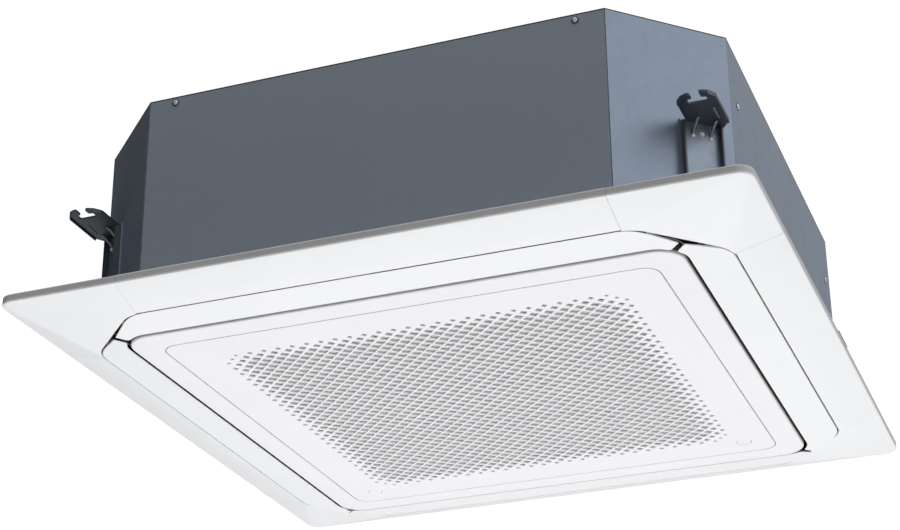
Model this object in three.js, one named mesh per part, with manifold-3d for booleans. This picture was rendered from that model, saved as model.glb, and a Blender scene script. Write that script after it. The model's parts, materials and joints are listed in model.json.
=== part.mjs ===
// Four-way ceiling cassette air conditioner: a square decoration panel under a
// chamfered sheet-steel casing that hangs above the ceiling on threaded rods.
// Millimetres. +X to the right, +Y to the back, +Z up. The origin is the centre
// of the panel in the plane of the ceiling: the panel's rim top lies on z = 0.
import * as THREE from "three";
import { mergeVertices } from "three/addons/utils/BufferGeometryUtils.js";
import Module from "manifold-3d";

const wasm = await Module();
wasm.setup();

// ---------------------------------------------------------------- dimensions
const PANEL_HALF = 475; // decoration panel, 950 mm square
const PANEL_CORNER_R = 20;
const RIM_Z = -9; // foot of the upright rim
const RING_Z = -27; // lower edge of the panel's slope, at the louvre ring
const RING_HALF = 417.3; // outer edge of the air outlets
const RING_V = 322; // where the ring's corner chamfer would start
const RING_R = 50;
const WALL_V = 335; // the duct wall stands further out in the corners
const SEAM = 310; // corner covers start here
const SKIN = 3;
const DUCT_TOP = 12;
const DECK_Z = 9.5;
const SLOT = 298; // half length of an air outlet above the louvres

const INNER_HALF = 362.9; // inner wall of the air outlets
const INNER_R = 36.4;
const INTAKE_HALF = 297;
const INTAKE_CUT = 60;

const VANE_OUT = 415.3;
const VANE_IN = 366.7;
const VANE_T = 3.5;
const VANE_SLOPE = 0.1029;
const VANE_AXIS_Y = 392;
const VANE_AXIS_Z = -20;
const VANE_PIN_R = 2.2;
const VANE_BORE_R = 2.8;

const GRILLE_HALF = 362;
const GRILLE_R = 35.5;
const GRILLE_FACE = -33.7;
const GRILLE_BACK = -31.2;
const GRILLE_TOP = -19;
const GROOVE_HALF = 326;
const GRILLE_AXIS_Y = -348;
const GRILLE_AXIS_Z = -25;
const HINGE_X = 200;
const HINGE_PIN_R = 2.0;
const HINGE_BORE_R = 2.6;
const HOLE_PITCH = 89;
const HOLE_N = 6;
const HOLE_HALF = 34;
const LATCH_X = 285;
const LATCH_Y = 286;
const FILTER_HALF = 273;

const BODY_HALF = 424; // casing, 848 mm square with cut corners
const BODY_LEG = 119;
const BODY_BOTTOM = 16;
const BODY_TOP = 268;
const SHEET = 1.2;

const HANGER_X = 403.75;
const HANGER_Y = 396;
const HANGER_Z = 136;
const HANGER_T = 3;

const LINER_IN = 404;
const PAN_TOP = 58;
const COIL_OUT = 350;
const COIL_IN = 318;
const COIL_BOTTOM = 44.4;
const COIL_TOP = 249.6;

const FAN_R = 240;
const THROAT_R = 166;
const BLADES = 7;

// ------------------------------------------------------------------- helpers
function toSolid(geometry) {
  const g = geometry.clone();
  for (const k of Object.keys(g.attributes))
    if (k !== "position") g.deleteAttribute(k);
  const m = mergeVertices(g, 1e-4);
  return new wasm.Manifold(
    new wasm.Mesh({
      numProp: 3,
      vertProperties: new Float32Array(m.attributes.position.array),
      triVerts: new Uint32Array(m.index.array),
    }),
  );
}
function toGeometry(s) {
  const m = s.getMesh();
  const v = new Float32Array(m.numVert * 3);
  for (let i = 0; i < m.numVert; i++)
    v.set(m.vertProperties.subarray(i * m.numProp, i * m.numProp + 3), i * 3);
  const g = new THREE.BufferGeometry();
  g.setAttribute("position", new THREE.BufferAttribute(v, 3));
  g.setIndex(new THREE.BufferAttribute(new Uint32Array(m.triVerts), 1));
  g.computeVertexNormals();
  return g;
}
const join = (...list) => list.reduce((a, b) => a.add(b));
const cut = (a, ...list) => list.reduce((s, b) => s.subtract(b), a);

function shapeOf(points) {
  return new THREE.Shape(points.map((p) => new THREE.Vector2(p[0], p[1])));
}
// Upright prism of an outline in plan.
function prism(points, z0, z1, holes = []) {
  const s = shapeOf(points);
  for (const h of holes)
    s.holes.push(new THREE.Path(h.map((p) => new THREE.Vector2(p[0], p[1]))));
  const g = new THREE.ExtrudeGeometry(s, {
    depth: z1 - z0,
    bevelEnabled: false,
    steps: 1,
    curveSegments: 8,
  });
  g.translate(0, 0, z0);
  return toSolid(g);
}
// Prism along X of an outline given as (y, z).
function prismX(points, x0, x1) {
  const g = new THREE.ExtrudeGeometry(shapeOf(points), {
    depth: x1 - x0,
    bevelEnabled: false,
    steps: 1,
  });
  // extruded (a, b, t) becomes (t, a, b)
  const m = new THREE.Matrix4().set(0, 0, 1, x0, 1, 0, 0, 0, 0, 1, 0, 0, 0, 0, 0, 1);
  g.applyMatrix4(m);
  return toSolid(g);
}
function box(x0, x1, y0, y1, z0, z1) {
  const g = new THREE.BoxGeometry(x1 - x0, y1 - y0, z1 - z0);
  g.translate((x0 + x1) / 2, (y0 + y1) / 2, (z0 + z1) / 2);
  return toSolid(g);
}
function cylZ(r, z0, z1, x = 0, y = 0, seg = 16) {
  const g = new THREE.CylinderGeometry(r, r, z1 - z0, seg);
  g.rotateX(Math.PI / 2);
  g.translate(x, y, (z0 + z1) / 2);
  return toSolid(g);
}
function cylX(r, x0, x1, y, z, seg = 12) {
  const g = new THREE.CylinderGeometry(r, r, x1 - x0, seg);
  g.rotateZ(Math.PI / 2);
  g.translate((x0 + x1) / 2, y, z);
  return toSolid(g);
}
function cylY(r, y0, y1, x, z, seg = 12) {
  const g = new THREE.CylinderGeometry(r, r, y1 - y0, seg);
  g.translate(x, (y0 + y1) / 2, z);
  return toSolid(g);
}
// Lathe about Z of a closed (r, z) profile.
function lathe(profile, seg) {
  const pts = profile.map((p) => new THREE.Vector2(p[0], p[1]));
  pts.push(pts[0].clone());
  const g = new THREE.LatheGeometry(pts, seg);
  g.rotateX(Math.PI / 2);
  let s = toSolid(g);
  if (s.volume() < 0) {
    const r = new THREE.LatheGeometry(pts.slice().reverse(), seg);
    r.rotateX(Math.PI / 2);
    s = toSolid(r);
  }
  return s;
}
// Tube along a smooth curve.
function tube(points, r, steps, sides = 10) {
  const path = new THREE.CatmullRomCurve3(
    points.map((p) => new THREE.Vector3(...p)),
    false,
    "catmullrom",
    0.5,
  );
  const s = new THREE.Shape();
  for (let i = 0; i < sides; i++) {
    const a = (i / sides) * 2 * Math.PI;
    const x = r * Math.cos(a);
    const y = r * Math.sin(a);
    if (i) s.lineTo(x, y);
    else s.moveTo(x, y);
  }
  s.closePath();
  return toSolid(
    new THREE.ExtrudeGeometry(s, {
      steps,
      bevelEnabled: false,
      extrudePath: path,
    }),
  );
}
// Solid between stacked outlines that have the same number of points.
function loft(loops) {
  const n = loops[0].points.length;
  const pos = [];
  for (const l of loops) for (const p of l.points) pos.push(p[0], p[1], l.z);
  const idx = [];
  for (let k = 0; k + 1 < loops.length; k++)
    for (let i = 0; i < n; i++) {
      const j = (i + 1) % n;
      const a = k * n + i;
      const b = k * n + j;
      const c = (k + 1) * n + i;
      const d = (k + 1) * n + j;
      idx.push(a, b, d, a, d, c);
    }
  const cap = (k, flip) => {
    const contour = loops[k].points.map((p) => new THREE.Vector2(p[0], p[1]));
    for (const t of THREE.ShapeUtils.triangulateShape(contour, [])) {
      const [a, b, c] = t.map((i) => k * n + i);
      if (flip) idx.push(a, c, b);
      else idx.push(a, b, c);
    }
  };
  cap(0, true);
  cap(loops.length - 1, false);
  const g = new THREE.BufferGeometry();
  g.setAttribute("position", new THREE.Float32BufferAttribute(pos, 3));
  g.setIndex(idx);
  return toSolid(g);
}
const quarter = (p, k) => {
  let [x, y] = p;
  for (let i = 0; i < k; i++) [x, y] = [-y, x];
  return [x, y];
};
const fourfold = (corner) =>
  [0, 1, 2, 3].flatMap((k) => corner.map((p) => quarter(p, k)));
// Square with rounded corners.
function rounded(h, r, n = 5) {
  const c = [];
  for (let i = 0; i <= n; i++) {
    const a = ((i / n) * Math.PI) / 2;
    c.push([h - r + r * Math.cos(a), h - r + r * Math.sin(a)]);
  }
  return fourfold(c);
}
// Square with rounded corners, eight points to a corner, for lofting.
function outerLoop(h, r) {
  const c = [[h, SEAM]];
  for (let i = 0; i < 6; i++) {
    const a = ((i / 5) * Math.PI) / 2;
    c.push([h - r + r * Math.cos(a), h - r + r * Math.sin(a)]);
  }
  c.push([SEAM, h]);
  return fourfold(c);
}
// Square with cut, softened corners, eight points to a corner.
function ringLoop(h, v, r) {
  const t = r * Math.tan(Math.PI / 8);
  const a = [];
  for (let i = 0; i < 3; i++) {
    const w = (i * Math.PI) / 8;
    a.push([h - r + r * Math.cos(w), v - t + r * Math.sin(w)]);
  }
  const e = a[2];
  const f = [a[2][1], a[2][0]];
  const mid = (u) => [e[0] + (f[0] - e[0]) * u, e[1] + (f[1] - e[1]) * u];
  return fourfold([
    a[0],
    a[1],
    a[2],
    mid(1 / 3),
    mid(2 / 3),
    [a[2][1], a[2][0]],
    [a[1][1], a[1][0]],
    [a[0][1], a[0][0]],
  ]);
}
// Plain octagon.
const octagon = (h, leg) =>
  fourfold([
    [h, h - leg],
    [h - leg, h],
  ]);

const turned = (s, k) => s.rotate([0, 0, 90 * k]);
const all4 = (s) => join(s, turned(s, 1), turned(s, 2), turned(s, 3));

// ------------------------------------------------------------------ materials
const M = (color, roughness, metalness = 0) =>
  new THREE.MeshStandardMaterial({ color, roughness, metalness });
const mats = {
  panel: () => M(0xeeeff2, 0.45),
  zinc: () => M(0x8b95a3, 0.45, 0.8),
  bracket: () => M(0x4a535c, 0.5, 0.8),
  foam: () => M(0xe6e6e2, 0.95),
  fins: () => M(0xb4b9bd, 0.4, 0.9),
  copper: () => M(0xb87148, 0.35, 0.95),
  brass: () => M(0xb8995a, 0.35, 0.95),
  plastic: () => M(0xd9dadb, 0.5),
  dark: () => M(0x2b2e31, 0.6),
  rubber: () => M(0x1c1c1d, 0.9),
  board: () => M(0x2f6b45, 0.6),
  filter: () => M(0xa3a5a6, 0.9),
};

const root = new THREE.Group();
root.name = "ceiling_cassette";
function add(parent, name, solid, mat) {
  const mesh = new THREE.Mesh(toGeometry(solid), mats[mat]());
  mesh.name = name;
  parent.add(mesh);
  return mesh;
}

// =============================================================== PANEL FRAME
// Envelope of the panel: upright rim, then a slope down to the louvre ring.
const slopeLoops = (d, z0) => [
  { z: z0, points: ringLoop(RING_HALF + (d ? 1 : 0), RING_V, RING_R) },
  { z: RIM_Z - 1.9 + d, points: outerLoop(PANEL_HALF - 1.8 - d, PANEL_CORNER_R - 1.5) },
  { z: RIM_Z + d * 0.6, points: outerLoop(PANEL_HALF - d, PANEL_CORNER_R - d * 0.5) },
];
function envelope(d) {
  // d = 0 is the outer skin, d > 0 the hollow behind a skin of that thickness
  const loops = slopeLoops(d, RING_Z + d);
  loops.push({
    z: d ? 30 : 0,
    points: outerLoop(PANEL_HALF - d, PANEL_CORNER_R - d * 0.5),
  });
  return loft(loops);
}
const ringHole = prism(ringLoop(RING_HALF, RING_V, RING_R), -60, 40);
const wallHole = prism(ringLoop(RING_HALF, WALL_V, RING_R), -60, 40);

// The side strips: skin, rim and duct wall, cut at the seams of the covers.
const cornerZone = (g, z0, z1) =>
  all4(box(SEAM - g, 520, SEAM - g, 520, z0, z1));
let strips = cut(envelope(0), envelope(SKIN), ringHole);
const ductWall = cut(
  prism(ringLoop(RING_HALF + 3, WALL_V + 1.2, RING_R), RING_Z + 1.5, DUCT_TOP),
  wallHole,
);
strips = join(strips, cut(ductWall, cornerZone(0.2, -40, -18)));
strips = cut(strips, cornerZone(0.2, -60, 1));
// Flange behind the corner covers, with an opening to reach the hanging rod.
const cornerFlange = (() => {
  let s = cut(
    prism(rounded(PANEL_HALF - 3.4, 16, 4), -3, 0).intersect(box(296, 480, 296, 480, -4, 1)),
    wallHole,
  );
  s = cut(s, cylZ(22, -10, 10, 404, 404, 12));
  return s;
})();
// Inner wall of the outlets, seat of the grille and intake opening.
const innerWall = cut(
  prism(rounded(INNER_HALF, INNER_R), -14.5, DUCT_TOP),
  prism(rounded(INNER_HALF - 2.5, INNER_R - 2.5), -40, 40),
);
const seat = cut(
  prism(rounded(INNER_HALF - 1, INNER_R - 1), -3, 0),
  prism(octagon(INTAKE_HALF, INTAKE_CUT), -40, 40),
);
const lip = cut(
  prism(octagon(INTAKE_HALF + 2.5, INTAKE_CUT + 1), -9, -1),
  prism(octagon(INTAKE_HALF, INTAKE_CUT), -40, 40),
);
// Decks over the corners join the inner ring to the outer ring.
const deck = cut(
  box(SLOT + 2, 440, SLOT + 2, 440, DECK_Z, DUCT_TOP).intersect(
    prism(ringLoop(RING_HALF + 2, WALL_V + 0.8, RING_R), -40, 40),
  ),
  prism(rounded(INNER_HALF - 1.5, INNER_R - 1.5), -60, 60),
);
// Bearing brackets for the louvre pins hang from the decks.
const bearing = cut(
  join(
    box(339, 343, VANE_AXIS_Y - 4, VANE_AXIS_Y + 4, VANE_AXIS_Z, DECK_Z + 1),
    cylX(4.5, 339, 343, VANE_AXIS_Y, VANE_AXIS_Z, 8),
  ),
  cylX(VANE_BORE_R, 330, 350, VANE_AXIS_Y, VANE_AXIS_Z, 8),
);
const bearing2 = bearing.mirror([1, 0, 0]); // other end of the same louvre
const cornerBearings = join(bearing, turned(bearing2, -1));
// Room for a louvre motor in each corner.
const motorRoom = box(356, 375, 380, 404.5, -40, DECK_Z - 0.1);
// Arms that carry the grille's hinge pins.
const arm = (x) =>
  join(
    box(x - 2, x + 2, GRILLE_AXIS_Y + 8, GRILLE_AXIS_Y + 18, GRILLE_AXIS_Z - 3, -1),
    box(x - 2, x + 2, GRILLE_AXIS_Y - 3, GRILLE_AXIS_Y + 10, GRILLE_AXIS_Z - 3, GRILLE_AXIS_Z + 3),
    cylX(HINGE_PIN_R, x - 8, x + 8, GRILLE_AXIS_Y, GRILLE_AXIS_Z, 8),
  );
// Keepers for the two push latches.
const keeper = (x) =>
  cut(cylZ(9, -17, -1, x, LATCH_Y, 10), cylZ(6, -40, -4, x, LATCH_Y, 10));

let frame = join(
  strips,
  all4(cornerFlange),
  innerWall,
  seat,
  lip,
  all4(deck),
);
frame = cut(frame, turned(motorRoom, 0), turned(motorRoom, 1), turned(motorRoom, 2), turned(motorRoom, 3));
frame = join(
  frame,
  all4(cornerBearings),
  arm(HINGE_X),
  arm(-HINGE_X),
  keeper(LATCH_X),
  keeper(-LATCH_X),
);
const panelGroup = new THREE.Group();
panelGroup.name = "decoration_panel";
root.add(panelGroup);
add(panelGroup, "panel_frame", frame, "panel");

// Foam seal between the panel's ducts and the casing.
add(
  panelGroup,
  "panel_seal",
  (() => {
    const slot = box(-SLOT, SLOT, INNER_HALF + 0.3, RING_HALF + 0.4, 0, 40);
    return cut(
      prism(octagon(BODY_HALF - 1, BODY_LEG), DUCT_TOP + 0.3, BODY_BOTTOM - 0.3),
      prism(rounded(INNER_HALF - 3, INNER_R - 3), 0, 40),
      slot,
      turned(slot, 1),
      turned(slot, 2),
      turned(slot, 3),
    );
  })(),
  "rubber",
);

// ------------------------------------------------------------- corner covers
const CSKIN = 2.2;
function cornerCover() {
  const shell = cut(envelope(0), envelope(CSKIN), ringHole);
  let s = shell.intersect(box(SEAM + 0.2, 520, SEAM + 0.2, 520, -60, -0.3));
  // two snap posts reach up to the flange
  s = join(
    s,
    cylZ(3.5, -15.5, -3.4, 338, 452, 8),
    cylZ(3.5, -15.5, -3.4, 452, 338, 8),
  );
  return s;
}
const cover = cornerCover();
["back_right", "back_left", "front_left", "front_right"].forEach((n, k) => {
  const g = new THREE.Group();
  g.rotation.z = (k * Math.PI) / 2;
  panelGroup.add(g);
  add(g, "corner_cover_" + n, cover, "panel");
});

// -------------------------------------------------------------------- louvres
// One louvre, drawn for the back side; the others are quarter turns of it.
function vane() {
  const ring = cut(
    prism(ringLoop(VANE_OUT, 736.5 - VANE_OUT, RING_R - 2), -60, 0),
    prism(rounded(VANE_IN, 40.2), -80, 20),
  );
  const wedge = prism(
    [
      [-430, 433.5],
      [-340, 343.5],
      [340, 343.5],
      [430, 433.5],
    ],
    -70,
    10,
  );
  const z = (y) => RING_Z - (VANE_OUT - y) * VANE_SLOPE;
  const slab = prismX(
    [
      [340, z(340)],
      [430, z(430)],
      [430, z(430) + VANE_T],
      [340, z(340) + VANE_T],
    ],
    -430,
    430,
  );
  let s = ring.intersect(wedge).intersect(slab);
  // short tips, so that the grille's corners pass them as it swings open
  s = cut(s, box(-430, 430, 330, 359.3, -80, 20));
  for (const d of [1, -1]) {
    const e = box(
      Math.min(332 * d, 336 * d),
      Math.max(332 * d, 336 * d),
      VANE_AXIS_Y - 4.5,
      VANE_AXIS_Y + 4.5,
      -28,
      VANE_AXIS_Z + 4,
    );
    const end = d > 0 ? -345.5 : 357.3;
    const a = d > 0 ? Math.min(end, -334) : 334;
    const b = d > 0 ? -334 : end;
    s = join(s, e, cylX(VANE_PIN_R, a, b, VANE_AXIS_Y, VANE_AXIS_Z, 8));
  }
  return s;
}
const vaneSolid = vane();
// Geared stepping motor of a louvre: round can above its output shaft.
const vaneMotor = join(
  cylX(10, 358.6, 372.4, VANE_AXIS_Y, VANE_AXIS_Z + 8, 20),
  box(358.6, 361.6, VANE_AXIS_Y - 6, VANE_AXIS_Y + 6, -6, DECK_Z - 0.4),
);
["back", "left", "front", "right"].forEach((n, k) => {
  const g = new THREE.Group();
  g.rotation.z = (k * Math.PI) / 2;
  panelGroup.add(g);
  add(g, "vane_" + n, vaneSolid, "panel");
  add(g, "vane_motor_" + n, vaneMotor, "dark");
});

// --------------------------------------------------------------- intake grille
const grilleGroup = new THREE.Group();
grilleGroup.name = "grille_group";
grilleGroup.position.set(0, GRILLE_AXIS_Y, GRILLE_AXIS_Z); // hinge axis
panelGroup.add(grilleGroup);
const toHinge = (s) => s.translate([0, -GRILLE_AXIS_Y, -GRILLE_AXIS_Z]);
function grille() {
  let s = loft([
    { z: GRILLE_FACE, points: rounded(GRILLE_HALF - 2.5, GRILLE_R - 2.5) },
    { z: GRILLE_FACE + 0.8, points: rounded(GRILLE_HALF - 0.8, GRILLE_R - 0.8) },
    { z: GRILLE_BACK, points: rounded(GRILLE_HALF, GRILLE_R) },
    { z: GRILLE_TOP, points: rounded(GRILLE_HALF, GRILLE_R) },
  ]);
  s = cut(
    s,
    prism(rounded(GRILLE_HALF - 2.5, GRILLE_R - 2.5), GRILLE_BACK, 0),
  );
  // fine groove round the perforated field
  s = cut(
    s,
    cut(
      prism(rounded(GROOVE_HALF + 0.7, 22.7, 4), -40, GRILLE_FACE + 0.7),
      prism(rounded(GROOVE_HALF - 0.7, 21.3, 4), -41, 0),
    ),
  );
  // diamond perforation
  const off = (HOLE_N - 1) / 2;
  let holes = null;
  const diamonds = [];
  const put = (cx, cy) =>
    diamonds.push([
      [cx + HOLE_HALF, cy],
      [cx, cy + HOLE_HALF],
      [cx - HOLE_HALF, cy],
      [cx, cy - HOLE_HALF],
    ]);
  for (let i = 0; i < HOLE_N; i++)
    for (let j = 0; j < HOLE_N; j++)
      put((i - off) * HOLE_PITCH, (j - off) * HOLE_PITCH);
  for (let i = 0; i < HOLE_N - 1; i++)
    for (let j = 0; j < HOLE_N - 1; j++)
      put((i - off + 0.5) * HOLE_PITCH, (j - off + 0.5) * HOLE_PITCH);
  for (const d of diamonds) {
    const h = prism(d, -40, -25);
    holes = holes ? holes.add(h) : h;
  }
  s = cut(s, holes);
  // latch holes
  for (const x of [LATCH_X, -LATCH_X]) s = cut(s, cylZ(10.6, -40, -20, x, LATCH_Y, 20));
  // hinge: notch in the edge, two ears and their bores
  for (const x of [HINGE_X, -HINGE_X]) {
    s = cut(s, box(x - 12, x + 12, -370, -355, -29.2, 0));
    const ears = join(
      box(x - 7, x - 3.5, GRILLE_AXIS_Y - 4, GRILLE_AXIS_Y + 5, GRILLE_BACK - 1, GRILLE_AXIS_Z + 4),
      box(x + 3.5, x + 7, GRILLE_AXIS_Y - 4, GRILLE_AXIS_Y + 5, GRILLE_BACK - 1, GRILLE_AXIS_Z + 4),
    );
    s = join(s, ears);
    s = cut(s, cylX(HINGE_BORE_R, x - 9, x + 9, GRILLE_AXIS_Y, GRILLE_AXIS_Z, 8));
  }
  return s;
}
add(grilleGroup, "intake_grille", toHinge(grille()), "panel");

// Push latches in the grille's two back corners.
const latch = (x) =>
  join(
    cylZ(10, GRILLE_FACE, GRILLE_BACK + 0.9, x, LATCH_Y, 20),
    cylZ(12.6, GRILLE_BACK + 0.4, GRILLE_BACK + 2, x, LATCH_Y, 20),
    cylZ(4, GRILLE_BACK + 1, -14.5, x, LATCH_Y, 12),
  );
add(grilleGroup, "grille_latch_right", toHinge(latch(LATCH_X)), "panel");
add(grilleGroup, "grille_latch_left", toHinge(latch(-LATCH_X)), "panel");

// Air filter: a net in a ribbed frame, lying on the grille's back.
function filter() {
  const F = FILTER_HALF;
  const z0 = GRILLE_BACK + 0.4;
  let s = box(-F, F, -F, F, z0, z0 + 0.9);
  const rim = cut(box(-F, F, -F, F, z0, z0 + 6), box(-F + 8, F - 8, -F + 8, F - 8, z0 - 5, z0 + 20));
  s = join(s, rim);
  for (const t of [-90, 90]) {
    s = join(s, box(t - 2, t + 2, -F + 4, F - 4, z0, z0 + 5));
    s = join(s, box(-F + 4, F - 4, t - 2, t + 2, z0, z0 + 5));
  }
  return s;
}
add(grilleGroup, "air_filter", toHinge(filter()), "filter");

// =================================================================== CASING
const casing = new THREE.Group();
casing.name = "casing";
root.add(casing);
const TOPZ = BODY_TOP - SHEET - 0.3;
const flatHalf = BODY_HALF - BODY_LEG; // half length of a straight side

// Straight side sheet, drawn for the back.
function sideSheet(holes = []) {
  let s = box(-flatHalf + 0.5, flatHalf - 0.5, BODY_HALF - SHEET, BODY_HALF, BODY_BOTTOM, TOPZ);
  // folded edge at the foot
  s = join(
    s,
    box(-flatHalf + 8, flatHalf - 8, BODY_HALF - 2.4, BODY_HALF - SHEET / 2, BODY_BOTTOM, BODY_BOTTOM + 0.8),
  );
  for (const h of holes) s = cut(s, h);
  return s;
}
const GAS = { x: -327, y: 250, z: 200, r: 8 };
const LIQ = { x: -343, y: 272, z: 140, r: 5 };
const DRAIN = { y: 196, z: 226, r: 16 };
const WIRE = { x: -180, z: 70, r: 12 };
const leftHoles = [
  cylX(GAS.r + 5, -440, -380, GAS.y, GAS.z, 16),
  cylX(LIQ.r + 5, -440, -380, LIQ.y, LIQ.z, 16),
  cylX(DRAIN.r + 0.5, -440, -380, DRAIN.y, DRAIN.z, 20),
];
add(casing, "side_panel_back", sideSheet([cylY(WIRE.r, 400, 440, WIRE.x, WIRE.z, 16)]), "zinc");
add(casing, "side_panel_left", cut(turned(sideSheet(), 1), ...leftHoles), "zinc");
add(casing, "side_panel_front", turned(sideSheet(), 2), "zinc");
add(casing, "side_panel_right", turned(sideSheet(), 3), "zinc");

// Corner sheets close the cut corners.
const cornerSheet = (() => {
  const c = [
    [BODY_HALF, flatHalf + 0.3],
    [flatHalf + 0.3, BODY_HALF],
    [flatHalf + 0.3 - 0.5, BODY_HALF - SHEET],
    [BODY_HALF - SHEET, flatHalf + 0.3 - 0.5],
  ];
  return prism(c, BODY_BOTTOM, TOPZ);
})();
["back_right", "back_left", "front_left", "front_right"].forEach((n, k) => {
  const g = new THREE.Group();
  g.rotation.z = (k * Math.PI) / 2;
  casing.add(g);
  add(g, "corner_sheet_" + n, cornerSheet, "zinc");
});

// Top plate with pressed stiffening grooves.
const top = (() => {
  let s = prism(octagon(BODY_HALF, BODY_LEG), BODY_TOP - SHEET, BODY_TOP);
  const groove = (a) =>
    box(170, 360, -9, 9, BODY_TOP - 0.5, BODY_TOP + 2).rotate([0, 0, a]);
  for (const a of [0, 90, 180, 270]) s = cut(s, groove(a));
  s = cut(
    s,
    cut(cylZ(140, BODY_TOP - 0.5, BODY_TOP + 2, 0, 0, 24), cylZ(124, 200, 300, 0, 0, 24)),
  );
  return s;
})();
add(casing, "top_plate", top, "zinc");

// Hanger bracket, drawn for the back right: a channel flat on the corner sheet,
// its web folded out at the top into a slotted plate that points along y.
function hanger() {
  const n0 = (2 * BODY_HALF - BODY_LEG) / Math.SQRT2; // the corner sheet's face
  const on = (t, n) => [(n0 + n + t) / Math.SQRT2, (n0 + n - t) / Math.SQRT2];
  const strip = (t0, t1, na, nb, z0, z1) =>
    prism([on(t0, na), on(t1, na), on(t1, nb), on(t0, nb)], z0, z1);
  const top = HANGER_Z + HANGER_T / 2;
  const low = HANGER_Z - HANGER_T / 2;
  const x = HANGER_X;
  const y = HANGER_Y;
  const plate = prism(
    [
      on(15.7, 0.35),
      on(63.5, 0.35),
      [415.8, 319],
      [427.3, 335.9],
      [427, 400.7],
      [420.7, 411.7],
      [x + 5.75, y + 20],
      [x + 5.75, y + 5.5],
      [x + 11.75, y + 5.5],
      [x + 11.75, y - 5.5],
      [x - 11.75, y - 5.5],
      [x - 11.75, y + 5.5],
      [x - 5.75, y + 5.5],
      [x - 5.75, y + 19.3],
      [386, 409.5],
      [378.8, 400],
      [378.8, 356.6],
    ],
    low,
    top,
  );
  const web = strip(9, 63.5, 0.35, 3.35, 22, top);
  const flangeL = strip(9, 11.5, 3, 11.5, 22, low - 2);
  const flangeR = strip(61, 63.5, 3, 11.5, 22, low + 0.1);
  // pressed ribs across the fold
  const rib = (t) => {
    const s = strip(t - 1.5, t + 1.5, 3, 19, low - 18, low + 0.1);
    const [cx, cy] = on(t, 3);
    const wedge = prism(
      [
        [-20, -40],
        [60, -40],
        [60, 16],
        [16, 16],
        [0, 0],
        [-20, 0],
      ],
      -10,
      10,
    )
      .rotate([90, 0, 45])
      .translate([cx, cy, low - 17]);
    return cut(s, wedge);
  };
  return join(plate, web, flangeL, flangeR, rib(25.5), rib(50));
}
const hb = hanger();
const mirrorX = (s) => s.mirror([1, 0, 0]);
const mirrorY = (s) => s.mirror([0, 1, 0]);
add(casing, "hanger_bracket_back_right", hb, "bracket");
add(casing, "hanger_bracket_back_left", mirrorX(hb), "bracket");
add(casing, "hanger_bracket_front_right", mirrorY(hb), "bracket");
add(casing, "hanger_bracket_front_left", mirrorX(mirrorY(hb)), "bracket");

// Moulded foam lining inside the casing, open below, with a hole for the motor.
const OUT_FOAM = BODY_HALF - SHEET - 1.4;
const liner = (() => {
  let s = prism(octagon(OUT_FOAM, BODY_LEG), PAN_TOP + 0.4, TOPZ - 0.2);
  s = cut(s, prism(octagon(LINER_IN, 108), 0, COIL_TOP + 0.5));
  s = cut(s, cylZ(104, 100, 300, 0, 0, 24));
  return cut(
    s,
    cylX(GAS.r + 0.5, -440, -380, GAS.y, GAS.z, 16),
    cylX(LIQ.r + 0.5, -440, -380, LIQ.y, LIQ.z, 16),
    cylX(DRAIN.r + 0.5, -440, -380, DRAIN.y, DRAIN.z, 20),
    cylY(WIRE.r - 3, 380, 440, WIRE.x, WIRE.z, 16),
  );
})();
add(casing, "insulation_liner", liner, "foam");

// Drain pan with the four outlet slots and the trough under the coil.
const pan = (() => {
  let s = prism(octagon(OUT_FOAM, BODY_LEG), BODY_BOTTOM + 0.3, PAN_TOP);
  s = cut(s, prism(rounded(292, 50, 4), 0, 100));
  const slot = prism(
    [
      [-SLOT, 364],
      [SLOT, 364],
      [SLOT, 414],
      [-SLOT, 414],
    ],
    0,
    100,
  );
  s = cut(s, slot, turned(slot, 1), turned(slot, 2), turned(slot, 3));
  s = cut(
    s,
    cut(
      prism(rounded(COIL_OUT + 4, 60, 4), COIL_BOTTOM - 0.4, 100),
      prism(rounded(COIL_IN - 6, 30, 4), 0, 200),
    ),
  );
  return s;
})();
add(casing, "drain_pan", pan, "foam");

// Heat exchanger bent round the fan, open in the back left corner.
const coil = (() => {
  const ringS = cut(
    prism(rounded(COIL_OUT, 58, 5), COIL_BOTTOM, COIL_TOP),
    prism(rounded(COIL_IN, 26, 5), 0, 300),
  );
  return cut(ringS, box(-400, -240, 240, 400, 0, 300));
})();
add(casing, "heat_exchanger", coil, "fins");

// Bell mouth that leads the air from the intake into the fan.
const bell = (() => {
  const ringS = lathe(
    [
      [THROAT_R, 78],
      [THROAT_R + 2.5, 78],
      [THROAT_R + 2.5, 56],
      [177, 37],
      [200, 21.5],
      [236, 15.9],
      [236, 12.9],
      [198, 18.7],
      [174, 35],
      [THROAT_R, 55],
    ],
    28,
  );
  const plate = cut(
    prism(rounded(299, 40, 4), 12.9, 15.9),
    cylZ(233, 0, 40, 0, 0, 28),
  );
  return join(ringS, plate);
})();
add(casing, "bell_mouth", bell, "dark");

// Control box under the bell mouth's plate, with its board and cover.
const CB = { x0: -160, x1: 160, y0: 240, y1: 288, z0: -14, z1: 12.5 };
add(
  casing,
  "control_box",
  cut(
    box(CB.x0, CB.x1, CB.y0, CB.y1, CB.z0, CB.z1),
    box(CB.x0 + 1.2, CB.x1 - 1.2, CB.y0 + 1.2, CB.y1 - 1.2, CB.z0 - 5, CB.z1 - 1.2),
  ),
  "zinc",
);
add(
  casing,
  "control_board",
  join(
    box(CB.x0 + 8, CB.x1 - 8, CB.y0 + 4, CB.y1 - 4, 6.6, 8.4),
    box(-120, -70, CB.y0 + 8, CB.y1 - 8, -8, 7),
    box(-40, 10, CB.y0 + 10, CB.y1 - 12, -2, 7),
    box(60, 140, CB.y0 + 8, CB.y1 - 22, -6, 7),
    cylZ(3, 8, 11, -148, 264, 8),
    cylZ(3, 8, 11, 148, 264, 8),
  ),
  "board",
);
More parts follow.
